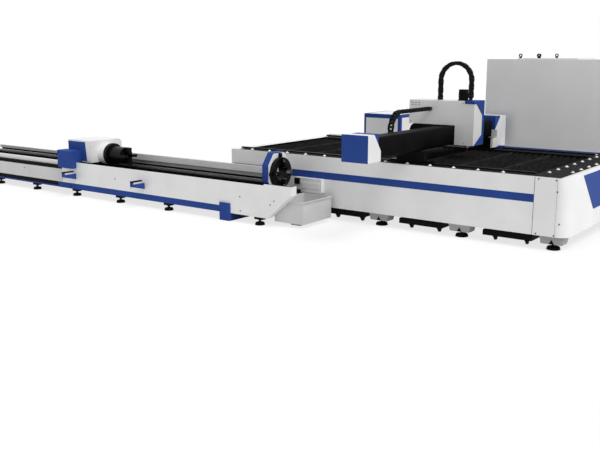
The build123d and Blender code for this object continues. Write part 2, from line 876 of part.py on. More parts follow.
# Drag chain of the carriage: lower strand on the beam's shelf, upper strand to the cover, bend between them
for name, start, end, height in (("chain_lower", chain_low_front, chain_low_back,
                                  shelf_top + link_height / 2),
                                 ("chain_upper", chain_bend_place, carriage_place, chain_high)):
    count = max(2, round((end - start) / link_pitch))
    step = (end - start) / count
    with BuildPart(datum) as strand:
        block((chain_x - link_width / 2 + link_step, chain_x + link_width / 2 - link_step), (start, end),
              (height - link_height / 2 + link_step, height + link_height / 2 - link_step))
        for index in range(0, count, 2):
            block((chain_x - link_width / 2, chain_x + link_width / 2),
                  (start + index * step, start + (index + 1) * step),
                  (height - link_height / 2, height + link_height / 2))
    strand.part.label = name
    export_step(strand.part, f"parts/{name}.step")
bend_links = max(4, round(180 / degrees(link_pitch / chain_bend_radius)))
with BuildPart(datum) as chain_bend:
    for index in range(bend_links):
        turn = 90 + (index + 1 / 2) * 180 / bend_links
        link(side(chain_x), chain_bend_place + chain_bend_radius * cos(radians(turn)),
             chain_mid + chain_bend_radius * sin(radians(turn)), turn + 90, index % 2 == 0)
    reach = chain_bend_radius + link_height
    block((chain_x - link_width, chain_x + link_width),
          (chain_bend_place - slide_gap, chain_bend_place + reach),
          (chain_mid - reach, chain_mid + reach), Mode.SUBTRACT)
    block((chain_x - link_width, chain_x + link_width),
          (chain_bend_place - reach, chain_bend_place + reach),
          (chain_mid - reach, chain_low_top + slide_gap), Mode.SUBTRACT)
chain_bend.part.label = "chain_bend"
export_step(chain_bend.part, "parts/chain_bend.step")

# Upright drag chain of the lift: two legs and an arch
arch_radius = lift_chain_span / 2
arch_links = max(6, round(180 / degrees(link_pitch / arch_radius)))
arch_x = (lift_chain_left + lift_chain_right) / 2
with BuildPart(datum) as lift_chain:
    for leg, low in ((lift_chain_left, cover_roof), (lift_chain_right, post_top)):
        count = max(2, round((lift_chain_top - low) / link_pitch))
        step = (lift_chain_top - low) / count
        block((leg - link_height / 2 + link_step, leg + link_height / 2 - link_step),
              (carriage_mid - link_width / 2 + link_step, carriage_mid + link_width / 2 - link_step),
              (low, lift_chain_top))
        for index in range(0, count, 2):
            block((leg - link_height / 2, leg + link_height / 2),
                  (carriage_mid - link_width / 2, carriage_mid + link_width / 2),
                  (low + index * step, low + (index + 1) * step))
    for index in range(arch_links):
        turn = (index + 1 / 2) * 180 / arch_links
        link(front(carriage_mid), arch_x + arch_radius * cos(radians(turn)),
             lift_chain_top + arch_radius * sin(radians(turn)), turn + 90, index % 2 == 0)
lift_chain.part.label = "lift_chain"
export_step(lift_chain.part, "parts/lift_chain.step")

# Tube bed frame: long box with a trough between the rails, lower rails below, and a seat for the front chuck
with BuildPart(datum) as tube_frame:
    block((-tube_left_reach, tube_frame_right), (tube_face, tube_rear),
          (tube_frame_bottom, tube_frame_top))
    block((tube_frame_right, tube_seat_right), (tube_face, tube_rear), (tube_clear, chuck_seat_height))
    block((-tube_left_reach + trough_end, tube_frame_right - trough_end),
          (-axis_reach - trough_width / 2, -axis_reach + trough_width / 2),
          (tube_frame_top - trough_depth, tube_frame_top + overrun), Mode.SUBTRACT)
    block((-tube_left_reach, blue_rail_left), (tube_face, tube_face + tube_rail_depth),
          (tube_clear, tube_frame_bottom))
    block((-tube_left_reach, tube_seat_right), (tube_rear - tube_rail_depth, tube_rear),
          (tube_clear, tube_frame_bottom))
tube_frame.part.label = "tube_frame"
export_step(tube_frame.part, "parts/tube_frame.step")

# White front cover of the tube bed, with the slanted right end folded back
end_line = [(cover_right, cover_raised_top), (cover_right, slant_top), (slant_foot, tube_clear)]
cross_foot_right = cross_foot_left + cross_foot_width
with BuildPart(datum) as tube_front_cover:
    prism(front(tube_face),
          [(tube_split, tube_frame_bottom), (cross_foot_right, tube_frame_bottom),
           (cross_foot_right, tube_clear),
           (slant_foot, tube_clear), (cover_right, slant_top), (cover_right, cover_raised_top),
           (raised_start + raised_slope, cover_raised_top), (raised_start, cover_top),
           (tube_split, cover_top)], sheet)
    with BuildSketch(front(tube_face + end_return)):
        with BuildLine():
            Polyline(*end_line)
            offset(amount=sheet, side=Side.RIGHT, closed=True)
        make_face()
    extrude(amount=end_return)
    block((tube_split, raised_start), (tube_face, tube_face + top_return), (cover_top - sheet, cover_top))
tube_front_cover.part.label = "tube_front_cover"
export_step(tube_front_cover.part, "parts/tube_front_cover.step")

# Grey front panel of the left section
with BuildPart(datum) as tube_left_panel:
    block((-tube_left_reach, tube_split), (-tube_front, tube_face), (tube_frame_bottom, left_panel_top))
tube_left_panel.part.label = "tube_left_panel"
export_step(tube_left_panel.part, "parts/tube_left_panel.step")

# White guide beam on the left section
with BuildPart(datum) as guide_beam:
    block((-tube_left_reach, tube_split), (-guide_beam_front, -guide_beam_front + guide_beam_width),
          (tube_frame_top, tube_frame_top + guide_beam_height))
guide_beam.part.label = "guide_beam"
export_step(guide_beam.part, "parts/guide_beam.step")

# Blue base rail with the rounded cross foot at its right end, which stands up in front of the cover
with BuildPart(datum) as tube_base_rail:
    block((cross_foot_left, cross_foot_right),
          (-tube_front - cross_foot_reach, tube_rear - tube_rail_depth),
          (0, tube_frame_bottom))
    block((cross_foot_left, cross_foot_right), (-tube_front - cross_foot_reach, -tube_front),
          (tube_frame_bottom, cross_foot_height))
    fillet(tube_base_rail.edges().filter_by(Axis.Z).group_by(Axis.Y)[0], cross_foot_round)
    block((blue_rail_left, cross_foot_left), (-tube_front, tube_face + tube_rail_depth),
          (tube_clear, tube_frame_bottom))
tube_base_rail.part.label = "tube_base_rail"
export_step(tube_base_rail.part, "parts/tube_base_rail.step")

# Levelling feet of the tube bed, with a cap under each rail
tube_foot_places = [index * tube_foot_pitch - tube_foot_left_reach for index in range(tube_foot_count)]
tube_foot_places.append(tube_foot_last)
with BuildPart(datum) as tube_feet:
    for row in (tube_face + tube_rail_depth / 2, tube_rear - tube_rail_depth / 2):
        for place in tube_foot_places:
            foot(place, row, tube_pad_radius, tube_clear - foot_cap)
            block((place - tube_pad_radius, place + tube_pad_radius),
                  (row - tube_rail_depth / 2, row + tube_rail_depth / 2), (tube_clear - foot_cap, tube_clear))
tube_feet.part.label = "tube_feet"
export_step(tube_feet.part, "parts/tube_feet.step")

# Rails of the rear chuck carriage
with BuildPart(datum) as tube_rails:
    for row in tube_rail_rows:
        block((-tube_left_reach + tube_rail_end, tube_frame_right - tube_rail_end),
              (row - tube_rail_width / 2, row + tube_rail_width / 2),
              (tube_frame_top, tube_frame_top + tube_rail_height))
tube_rails.part.label = "tube_rails"
export_step(tube_rails.part, "parts/tube_rails.step")

# Grey rear cover of the tube bed, lower on the left section
cover_foot = rear_cover_top - rear_cover_height
with BuildPart() as tube_rear_cover:
    for start, end, top in ((-tube_left_reach, rear_cover_split, rear_cover_left_top),
                            (rear_cover_split, tube_frame_right, rear_cover_top)):
        prism(side(start),
              [(-tube_back, cover_foot), (-tube_back, top), (-tube_back - rear_cover_return, top),
               (-tube_back - rear_cover_return, top - sheet), (tube_rear, top - sheet),
               (tube_rear, cover_foot)], end - start)
tube_rear_cover.part.label = "tube_rear_cover"
export_step(tube_rear_cover.part, "parts/tube_rear_cover.step")

# Rest hooks: tapered blue arms with an upturned nose on the front cover
with BuildPart() as rest_hooks:
    for place in hook_places:
        prism(side(place - hook_width / 2),
              [(-tube_front, hook_root_low), (-tube_front, hook_root_high),
               (-tube_front - hook_reach + hook_nose, hook_root_high),
               (-tube_front - hook_reach + hook_nose, hook_nose_high),
               (-tube_front - hook_reach, hook_nose_high),
               (-tube_front - hook_reach, hook_nose_low)], hook_width)
rest_hooks.part.label = "rest_hooks"
export_step(rest_hooks.part, "parts/rest_hooks.step")

# Black bars on the noses of the hooks
with BuildPart(datum) as hook_bars:
    for place in hook_places:
        block((place - hook_width / 2, place + hook_width / 2),
              (-tube_front - hook_reach, -tube_front - hook_reach + hook_bar_length),
              (hook_nose_high, hook_nose_high + hook_bar_thickness))
hook_bars.part.label = "hook_bars"
export_step(hook_bars.part, "parts/hook_bars.step")

# Front chuck housing: octagonal ring on the tube bed
with BuildPart() as front_chuck_housing:
    prism(side(housing_left), octagon(housing_half_width, octagon_reach, housing_flat), housing_thickness)
    disc(side(housing_left - overrun), -axis_reach, axis_height, hub_radius + slide_gap,
         housing_thickness + 2 * overrun, Mode.SUBTRACT)
front_chuck_housing.part.label = "front_chuck_housing"
export_step(front_chuck_housing.part, "parts/front_chuck_housing.step")

# White face of the front chuck housing
with BuildPart() as front_chuck_face:
    prism(side(face_left), octagon(housing_half_width - face_inset, octagon_reach - face_inset, housing_flat),
          face_thickness)
    disc(side(face_left - overrun), -axis_reach, axis_height, hub_radius + slide_gap,
         face_thickness + 2 * overrun, Mode.SUBTRACT)
front_chuck_face.part.label = "front_chuck_face"
export_step(front_chuck_face.part, "parts/front_chuck_face.step")

# Front chuck disc with its hub through the housing and four radial grooves
with BuildPart(datum) as front_chuck_disc:
    disc(side(disc_left), -axis_reach, axis_height, disc_radius, disc_thickness)
    disc(side(housing_left), -axis_reach, axis_height, hub_radius, disc_left - housing_left)
    disc(side(housing_left - overrun), -axis_reach, axis_height, bore_radius,
         disc_right - housing_left + 2 * overrun,
         Mode.SUBTRACT)
    half = groove_width / 2
    groove_x = (disc_right - groove_depth, disc_right + overrun)
    reach = disc_radius + overrun
    block(groove_x, (-axis_reach - reach, -axis_reach + reach),
          (axis_height - half, axis_height + half), Mode.SUBTRACT)
    block(groove_x, (-axis_reach - half, -axis_reach + half),
          (axis_height - reach, axis_height + reach), Mode.SUBTRACT)
front_chuck_disc.part.label = "front_chuck_disc"
export_step(front_chuck_disc.part, "parts/front_chuck_disc.step")

# Jaws of the front chuck: stepped blocks that slide in the grooves, tapered towards the work
for name, turn in (("jaw_back", 0), ("jaw_top", 90), ("jaw_front", 180), ("jaw_bottom", 270)):
    guide = Plane(origin=(bed_left + disc_right, bed_front - axis_reach, axis_height),
                  x_dir=(0, cos(radians(turn)), sin(radians(turn))), z_dir=(1, 0, 0))
    shoe = bore_radius + slide_gap
    half = groove_width / 2 - slide_gap
    with BuildPart() as jaw:
        with BuildSketch(guide.offset(slide_gap - groove_depth)):
            with Locations((shoe, 0)):
                Rectangle(jaw_inner + jaw_length - shoe, 2 * half, align=(Align.MIN, Align.CENTER))
        extrude(amount=groove_depth)
        with BuildSketch(guide.offset(slide_gap)):
            with BuildLine():
                Polyline((jaw_inner, -jaw_tip_width / 2), (jaw_inner + jaw_step, -half),
                         (jaw_inner + jaw_length, -half),
                         (jaw_inner + jaw_length, half), (jaw_inner + jaw_step, half),
                         (jaw_inner, jaw_tip_width / 2),
                         close=True)
            make_face()
        extrude(amount=jaw_reach)
        with BuildSketch(guide.offset(slide_gap + jaw_reach / 2)):
            with Locations((jaw_inner + jaw_length, 0)):
                Rectangle(jaw_length - jaw_step - jaw_step / 2, groove_width,
                          align=(Align.MAX, Align.CENTER))
        extrude(amount=jaw_reach, mode=Mode.SUBTRACT)
    jaw.part.label = name
    export_step(jaw.part, f"parts/{name}.step")

# Rear chuck carriage: base plate with runners on the tube rails
base_x = (carriage_left - base_lead, carriage_right)
base_y = (-housing_front - base_overhang, -housing_front + housing_depth)
with BuildPart(datum) as rear_base:
    block(base_x, base_y, (base_bottom, base_top))
    for row in tube_rail_rows:
        block(base_x, (row - tube_runner_width / 2, row + tube_runner_width / 2),
              (tube_frame_top + saddle_lift, base_bottom))
        half = tube_rail_width / 2 + slide_gap
        block((base_x[0] - overrun, base_x[1] + overrun), (row - half, row + half),
              (tube_frame_top, tube_frame_top + tube_rail_height + slide_gap), Mode.SUBTRACT)
rear_base.part.label = "rear_base"
export_step(rear_base.part, "parts/rear_base.step")

# White housing with a round top back edge, and a collar with a bore for the chuck's spindle
with BuildPart(datum) as rear_housing:
    block((carriage_left, carriage_right), (-housing_front, -housing_front + housing_depth),
          (base_top, base_top + housing_height))
    fillet(rear_housing.edges().filter_by(Axis.X).group_by(Axis.Z)[-1].sort_by(Axis.Y)[-1], housing_round)
    disc(side(carriage_right), -axis_reach, axis_height, collar_radius, collar_length)
    disc(side(carriage_right - spindle_length - slide_gap), -axis_reach, axis_height,
         spindle_radius + slide_gap, spindle_length + collar_length + overrun, Mode.SUBTRACT)
rear_housing.part.label = "rear_housing"
export_step(rear_housing.part, "parts/rear_housing.step")

# Blue side panel with a slanted right edge on the front of the housing
panel_x = (carriage_left + side_panel_left, carriage_left + side_panel_left + side_panel_length)
with BuildPart() as rear_side_panel:
    prism(front(-housing_front),
          [(panel_x[0], base_top + side_panel_inset),
           (panel_x[0], base_top + housing_height - side_panel_inset),
           (panel_x[1] - side_panel_slant, base_top + housing_height - side_panel_inset),
           (panel_x[1], base_top + side_panel_inset)], sheet)
rear_side_panel.part.label = "rear_side_panel"
export_step(rear_side_panel.part, "parts/rear_side_panel.step")

# Blue motor cover: stands in front of the housing and hangs over the bed's front cover
cover_x = (carriage_left - motor_cover_lead, carriage_left - motor_cover_lead + motor_cover_length)
with BuildPart() as rear_motor_cover:
    with BuildSketch(side(cover_x[0])) as profile:
        with BuildLine():
            Polyline((-motor_cover_front, motor_cover_foot), (-motor_cover_front, motor_cover_top),
                     (-housing_front - sheet, motor_cover_top), (-housing_front - sheet, base_top),
                     (-tube_front - motor_cover_gap, base_top),
                     (-tube_front - motor_cover_gap, motor_cover_foot),
                     close=True)
        make_face()
        fillet(profile.vertices().group_by(Axis.Y)[-1].sort_by(Axis.X)[0], motor_cover_round)
    extrude(amount=motor_cover_length)
rear_motor_cover.part.label = "rear_motor_cover"
export_step(rear_motor_cover.part, "parts/rear_motor_cover.step")

# Rear chuck: spindle, disc, nose drum and four jaws round its mouth
with BuildPart(datum) as rear_chuck:
    disc(side(rear_disc_left), -axis_reach, axis_height, rear_disc_radius, rear_disc_thickness)
    disc(side(carriage_right - spindle_length), -axis_reach, axis_height, spindle_radius,
         spindle_length + collar_length + rear_gap)
    disc(side(rear_disc_right), -axis_reach, axis_height, nose_radius, nose_length)
    half = rear_jaw_width / 2
    jaw_x = (nose_right, nose_right + rear_jaw_length)
    block(jaw_x, (-axis_reach - nose_radius, -axis_reach + nose_radius),
          (axis_height - half, axis_height + half))
    block(jaw_x, (-axis_reach - half, -axis_reach + half),
          (axis_height - nose_radius, axis_height + nose_radius))
    disc(side(rear_disc_right), -axis_reach, axis_height, nose_bore,
         nose_length + rear_jaw_length + overrun,
         Mode.SUBTRACT)
rear_chuck.part.label = "rear_chuck"
export_step(rear_chuck.part, "parts/rear_chuck.step")

# Drive box on the front of the plate bed, with its knob
with BuildPart(datum) as drive_box:
    block((drive_left, drive_left + drive_width), (-drive_depth, 0),
          (drive_low, drive_low + drive_height))
    fillet(drive_box.edges().filter_by(Axis.Y), drive_round)
    disc(front(-drive_depth), drive_left + knob_inset, drive_low + drive_height - knob_inset,
         knob_radius, knob_length)
drive_box.part.label = "drive_box"
export_step(drive_box.part, "parts/drive_box.step")

# Scrap bin: open box with a rim, on a plinth
bin_x = (bin_left, bin_left + bin_length)
bin_y = (-bin_front, -bin_front + bin_depth)
with BuildPart(datum) as scrap_bin:
    block((bin_x[0] + bin_rim, bin_x[1] - bin_rim), (bin_y[0] + bin_rim, bin_y[1] - bin_rim),
          (bin_bottom, bin_top))
    block(bin_x, bin_y, (bin_top - bin_rim, bin_top))
    block((bin_x[0] + bin_rim + bin_wall, bin_x[1] - bin_rim - bin_wall),
          (bin_y[0] + bin_rim + bin_wall, bin_y[1] - bin_rim - bin_wall),
          (bin_bottom + bin_wall, bin_top + overrun),
          Mode.SUBTRACT)
    block((bin_x[0] + bin_plinth_inset, bin_x[1] - bin_plinth_inset),
          (bin_y[0] + bin_plinth_inset, bin_y[1] - bin_plinth_inset), (0, bin_bottom))
scrap_bin.part.label = "scrap_bin"
export_step(scrap_bin.part, "parts/scrap_bin.step")

# Slag carts: open trays on small wheels, between the feet
for number in range(cart_count):
    middle = (foot_places[-1 - number] + foot_places[-2 - number]) / 2 + cart_offset
    cart_x = (middle - cart_width / 2, middle + cart_width / 2)
    cart_y = (cart_front, cart_front + cart_length)
    name = f"slag_cart_{cart_count - number}"
    with BuildPart(datum) as cart:
        block(cart_x, cart_y, (cart_bottom, cart_top))
        block((cart_x[0] + cart_wall, cart_x[1] - cart_wall),
              (cart_y[0] + cart_wall, cart_y[1] - cart_wall),
              (cart_bottom + cart_wall, cart_top + overrun), Mode.SUBTRACT)
        for x in (middle - wheel_spread / 2, middle + wheel_spread / 2):
            for y in (cart_y[0] + wheel_end, cart_y[1] - wheel_end):
                disc(side(x - wheel_width / 2), y, wheel_radius + cart_rise, wheel_radius, wheel_width)
                block((x - fork_width / 2, x + fork_width / 2), (y - wheel_radius, y + wheel_radius),
                      (wheel_radius + cart_rise, cart_bottom))
    cart.part.label = name
    export_step(cart.part, f"parts/{name}.step")

# Cabinet behind the bed, on a plinth, with a low roof plate and doors on its back
cabinet_x = (cabinet_left, cabinet_left + cabinet_length)
cabinet_y = (cabinet_front, cabinet_front + cabinet_depth)
door_pitch = (cabinet_length - 2 * cabinet_round + door_gap) / door_count
with BuildPart(datum) as cabinet_body:
    block(cabinet_x, (cabinet_y[0], cabinet_y[1] - door_thickness), (plinth_height, cabinet_height))
    fillet(cabinet_body.edges().filter_by(Axis.Z), cabinet_round)
    for index in range(door_count):
        door_left = cabinet_x[0] + cabinet_round + index * door_pitch
        block((door_left, door_left + door_pitch - door_gap), (cabinet_y[1] - door_thickness, cabinet_y[1]),
              (plinth_height + door_gap, cabinet_height - door_gap))
    block((cabinet_x[0] + plinth_inset, cabinet_x[1] - plinth_inset),
          (cabinet_y[0] + plinth_inset, cabinet_y[1] - plinth_inset), (0, plinth_height))
    block((cabinet_x[0] + roof_left, cabinet_x[0] + roof_left + roof_length),
          (cabinet_y[0] + roof_inset, cabinet_y[1] - roof_inset),
          (cabinet_height, cabinet_height + roof_height))
cabinet_body.part.label = "cabinet_body"
export_step(cabinet_body.part, "parts/cabinet_body.step")

# Lifting eyes on the roof plate
eye_middle = cabinet_height + roof_height + eye_stem + eye_radius - eye_hole / 2
with BuildPart(datum) as lifting_eyes:
    for x in (eye_first, eye_first + eye_spacing):
        for y in (cabinet_y[0] + eye_inset, cabinet_y[1] - eye_inset):
            place = cabinet_x[0] + x
            disc(plan(cabinet_height + roof_height), place, y, eye_stem, eye_stem)
            disc(front(y + eye_thickness / 2), place, eye_middle, eye_radius, eye_thickness)
            disc(front(y + eye_thickness), place, eye_middle, eye_hole, 2 * eye_thickness, Mode.SUBTRACT)
lifting_eyes.part.label = "lifting_eyes"
export_step(lifting_eyes.part, "parts/lifting_eyes.step")

# Equipment box with blue edges and a grey front panel
box_x = (box_left, box_left + box_length)
with BuildPart(datum) as equipment_box:
    block(box_x, (box_front, box_front + box_depth), (0, box_height))
    fillet(equipment_box.edges().filter_by(Axis.Z), box_round)
equipment_box.part.label = "equipment_box"
export_step(equipment_box.part, "parts/equipment_box.step")
with BuildPart(datum) as equipment_panel:
    block((box_x[0] + box_panel_side, box_x[1] - box_panel_side),
          (box_front - box_panel_thickness, box_front),
          (box_panel_low, box_height - box_panel_top))
equipment_panel.part.label = "equipment_panel"
export_step(equipment_panel.part, "parts/equipment_panel.step")
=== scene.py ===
"""Looks of a plate and tube laser cutting machine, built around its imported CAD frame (metres)."""
from math import cos, pi, radians, sin

import bmesh
import bpy
from mathutils import Matrix, Vector


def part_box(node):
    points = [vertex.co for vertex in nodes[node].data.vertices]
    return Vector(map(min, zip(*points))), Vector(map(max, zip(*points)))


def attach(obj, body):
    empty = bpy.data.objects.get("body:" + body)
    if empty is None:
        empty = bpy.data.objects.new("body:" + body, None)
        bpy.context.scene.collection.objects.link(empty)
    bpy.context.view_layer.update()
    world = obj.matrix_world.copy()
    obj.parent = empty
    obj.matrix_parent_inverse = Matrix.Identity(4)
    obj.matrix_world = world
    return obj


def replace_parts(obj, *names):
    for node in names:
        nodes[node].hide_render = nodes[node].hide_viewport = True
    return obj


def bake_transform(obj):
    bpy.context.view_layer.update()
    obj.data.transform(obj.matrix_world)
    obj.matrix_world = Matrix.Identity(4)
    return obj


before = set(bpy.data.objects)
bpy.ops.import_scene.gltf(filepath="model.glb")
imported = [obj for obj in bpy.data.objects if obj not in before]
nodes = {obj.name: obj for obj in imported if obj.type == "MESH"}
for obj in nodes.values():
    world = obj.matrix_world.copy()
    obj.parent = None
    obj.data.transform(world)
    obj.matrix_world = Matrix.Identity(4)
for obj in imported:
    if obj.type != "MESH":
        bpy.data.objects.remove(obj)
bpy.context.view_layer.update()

# Camera, counted from the plate bed's front left corner on the floor
CAMERA_PLACE = (7.213, -8.121, 2.022)
CAMERA_PITCH = 11.985
CAMERA_YAW = 36.759
CAMERA_LENS = 48.46
SENSOR_WIDTH = 36

# Light
SKY_STRENGTH = 0.52
SUN_STRENGTH = 2.0
SUN_FROM = (0.60, -0.15, 0.95)
SUN_SPREAD = 30
FLOOR_SIZE = 80
FLOOR_DROP = 0.0005
FLOOR_GLOW_SHARE = 0.72
FLOOR_GLOW = 1.04
FLOOR_WHITE = (0.9, 0.9, 0.9)

# Colours
WHITE = (0.80, 0.80, 0.80)
PALE_GREY = (0.60, 0.60, 0.60)
CABINET_GREY = (0.80, 0.80, 0.80)
# Grey of the rear cover's left lip: darker than the cover's own paint, this is painted shade
SHADED_LIP_GREY = (0.50, 0.50, 0.51)
FRAME_GREY = (0.34, 0.34, 0.34)
BLUE = (0.024, 0.063, 0.268)
BLACK = (0.0040, 0.0040, 0.0044)
TABLE_BLACK = (0.020, 0.020, 0.021)
WORN_STEEL = (0.034, 0.034, 0.035)
STEEL = (0.42, 0.43, 0.44)
DARK_STEEL = (0.012, 0.012, 0.013)
JAW_STEEL = (0.12, 0.12, 0.125)
HEAD_GREY = (0.50, 0.51, 0.53)
COPPER = (0.42, 0.20, 0.11)
NYLON = (0.82, 0.82, 0.80)
DULL = 0.06

# Shared sizes
UP = Vector((0, 0, 1))
SHARP_ANGLE = radians(35)
SKIN = 0.0012
SEAM_WIDTH = 0.004
END_SEAM = 4.437
END_SEAM_WIDTH = 0.0015
SCREW_RADIUS = 0.008
RAIL_CAP_RADIUS = 0.007
RAIL_CAP_PITCH = 0.12
RAIL_CAP_RISE = 0.0003

# Screws, as shares of their radius and of the head's height
SCREW_HEAD = 0.55
SCREW_ROUND = 0.20
SOCKET_FOOT = 0.80
SOCKET_TOP = 1.02
SOCKET_RADIUS = 0.50

# Plate bed
STRIPE_LEFT = 0.04
STRIPE_LOW = 0.500
STRIPE_HEIGHT = 0.086
END_SCREWS = ((4.236, 0.752), (4.423, 0.750), (4.440, 0.633),
              (4.480, 0.298), (4.237, 0.172), (4.430, 0.172))
BACK_STRIP_LEFT = 2.30
BACK_STRIP_WIDTH = 0.008
BRACKET_TRIANGLE_WIDTH = 0.058
BRACKET_TRIANGLE_HEIGHT = 0.050
BRACKET_DEPTH = 0.150
ROW_TOLERANCE = 0.008
PAD_HEIGHT = 0.034
PAD_ROUND = 0.006
PAD_TAPER = 0.86
STUD_RADIUS = 0.014
NUT_RADIUS = 0.024
NUT_HEIGHT = 0.010
FOOT_CAP = 0.030
FOOT_CAP_DEPTH = 0.070
WIPER_LENGTH = 0.09
WIPER_HEIGHT = 0.034

# Ball transfers, as shares of their height and radius
FLANGE_TOP = 0.25
COLLAR_TOP = 0.50
COLLAR_FOOT_RADIUS = 0.80
COLLAR_TOP_RADIUS = 0.66
BALL_RADIUS = 0.60

# Slat table
TABLE_GAP = 0.002
TABLE_MODULES = 8
MODULE_SLATS = 5
SLAT_THICKNESS = 0.005
SLAT_RISE = 0.050
TOOTH_PITCH = 0.024
TOOTH_DEPTH = 0.012
TABLE_BAR_WIDTH = 0.040
TABLE_BAR_HEIGHT = 0.060
SEAM_PLATE_WIDTH = 0.012
SEAM_PLATE_DROP = 0.002

# Chains and bellows. A link's radius is a share of its height, its ends and boss of that radius
LINK_PITCH = 0.046
LINK_STEPS = 6
OUTER_LINK = 0.46
INNER_LINK = 0.42
LINK_END = 0.55
LINK_BOSS = 0.35
LINK_BAR = 0.26
PLATE_THICKNESS = 0.004
BAR_THICKNESS = 0.005
BEND_LEAD = 0.07
PLEAT_PITCH = 0.034
PLEAT_DEPTH = 0.014
CLOTH_THICKNESS = 0.0015
BELLOWS_CORNER = 0.012
LIFT_LINK_HEIGHT = 0.05

# Carriage cover
VENT_ROWS = 2
VENT_COLUMNS = 3
VENT_LEFT = 0.035
VENT_PITCH = 0.045
VENT_LENGTH = 0.020
VENT_HEIGHT = 0.008
VENT_DROP = 0.040
VENT_ROW_PITCH = 0.028
EDGE_INSET = 0.025
EDGE_SCREW_RADIUS = 0.0048
COVER_ARCH = 1.165
SKIRT_THICKNESS = 0.003
SKIRT_RIGHT = 2.556
SKIRT_FOOT = 1.030
SKIRT_CURVE = ((2.186, 1.050), (2.190, 1.090), (2.202, 1.125), (2.222, 1.150), (2.250, 1.165))

# Cutting head, as shares of its height and half width
HEAD_BANDS = (0.42, 0.62)
HEAD_BAND_HEIGHT = 0.12
DRAWER_LOW = 0.47
DRAWER_HIGH = 0.57
DRAWER_WIDTH = 0.55
LOCK_RING_RADIUS = 0.52
LOCK_RING_HEIGHT = 0.40
COLLAR_RADIUS = 0.42

# Lift motor
MOTOR_FLANGE = 0.012
MOTOR_FINS = (0.35, 0.45, 0.55, 0.65)
MOTOR_FIN_HEIGHT = 0.004
CONNECTOR_INSET = 0.03
CONNECTOR_DEPTH = 0.02
CONNECTOR_FOOT = 0.05
CONNECTOR_TOP = 0.015
CONNECTOR_ROUND = 0.003

# Chucks and tube bed. Bolts: share of the disc's radius, count and radius of the screws
CHUCK_AXIS = (1, 0, 0)
DISC_RINGS = (0.012, 0.036)
DISC_RING_WIDTH = 0.004
DISC_BOLTS = ((0.86, 8, 0.009), (0.68, 4, 0.007))
REAR_NOSE = 0.35
REAR_RINGS = (0.012, 0.034)
REAR_RING_WIDTH = 0.006
REAR_BOLTS = ((0.82, 8, 0.008),)
JAWS = (("jaw_back", (0, 1, 0)), ("jaw_top", (0, 0, 1)),
        ("jaw_front", (0, -1, 0)), ("jaw_bottom", (0, 0, -1)))
JAW_TEETH = 4
JAW_TOOTH_PITCH = 0.011
JAW_TOOTH_SHARE = 0.7
JAW_TOOTH_WIDTH = 0.024
JAW_TOOTH_HEIGHT = 0.003
JAW_SCREW_RADIUS = 0.009
JAW_SCREW_INSET = 0.022
COVER_SCREWS = ((-3.519, 0.315), (-1.433, 0.330), (0.836, 0.320),
                (0.839, 0.145), (1.307, 0.269), (1.365, 0.321))
HOOK_SCREWS = (0.33, 0.67)
HOOK_SCREW_RADIUS = 0.0064
REAR_BAND_SPLIT = -2.30
REAR_BAND_LEFT_TOP = 0.497
REAR_BAND_LEFT_HEIGHT = 0.042
REAR_BAND_HEIGHT = 0.085
# Height of the black sheet inside the rear cover, which is painted shade
REAR_SHADE_LINER_HEIGHT = 0.160
FACE_BLOCK_WIDTH = 0.036
FACE_BLOCK_DEPTH = 0.036
FACE_BLOCK_GAP = 0.002
RAIL_STRIP_HEIGHT = 0.022

# Boxes
DRIVE_DEPTH = 0.066
DRIVE_KNOB_INSET = 0.045
LID_LEFT = 0.10
LID_RIGHT = 0.03
LID_EDGE = 0.05
LID_RISE = 0.006
LID_ROUND = 0.003
SWITCH_SIZE = 0.074
PANEL_EDGE = 0.045
DOOR_COUNT = 3
DOOR_GAP = 0.008
DOOR_SIDE = 0.015
HINGE_RADIUS = 0.0036
HINGE_LENGTH = 0.12
HINGE_SET_BACK = 0.00432
HINGE_HEIGHTS = (0.35, 1.0, 1.65)


# Geometry helpers. Each adds to the bmesh that it is given.

def corner_place(x, y, z):
    """Place counted from the plate bed's front left corner on the floor."""
    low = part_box("bed_front_panel")[0]
    return Vector((low.x + x, low.y + y, z))


def corner_x(x):
    """X counted from the plate bed's left end."""
    return corner_place(x, 0, 0).x


def round_edges(bm, edges, rounding):
    """Rounds the given edges."""
    bmesh.ops.bevel(bm, geom=edges, offset=rounding, segments=2, profile=0.5, affect="EDGES")


def add_block(bm, low, high, rounding=0.0):
    """Block between two corners, with rounded edges."""
    low, high = Vector(low), Vector(high)
    size = high - low
    place = Matrix.Translation((low + high) / 2) @ Matrix.Diagonal((*size, 1))
    made = bmesh.ops.create_cube(bm, size=1, matrix=place)["verts"]
    if rounding:
        round_edges(bm, list({edge for vert in made for edge in vert.link_edges}), rounding)


def add_rod(bm, start, end, radius, sides=24, end_radius=None, rounding=0.0):
    """Round rod or cone between two points."""
    start, end = Vector(start), Vector(end)
    turn = (end - start).to_track_quat("Z", "Y").to_matrix().to_4x4()
    place = Matrix.Translation((start + end) / 2) @ turn
    made = bmesh.ops.create_cone(bm, cap_ends=True, segments=sides, radius1=radius,
                                 radius2=radius if end_radius is None else end_radius,
                                 depth=(end - start).length, matrix=place)["verts"]
    if rounding:
        rims = [edge for edge in {e for v in made for e in v.link_edges}
                if any(len(face.verts) > 4 for face in edge.link_faces)]
        round_edges(bm, rims, rounding)


def add_plate(bm, points, depth, rounding=0.0):
    """Flat outline, given as points in space, thickened by the depth vector."""
    face = bm.faces.new([bm.verts.new(point) for point in points])
    grown = bmesh.ops.extrude_face_region(bm, geom=[face])["geom"]
    verts = [item for item in grown if isinstance(item, bmesh.types.BMVert)]
    bmesh.ops.translate(bm, vec=Vector(depth), verts=verts)
    if rounding:
        round_edges(bm, list({edge for vert in verts for edge in vert.link_edges}), rounding)


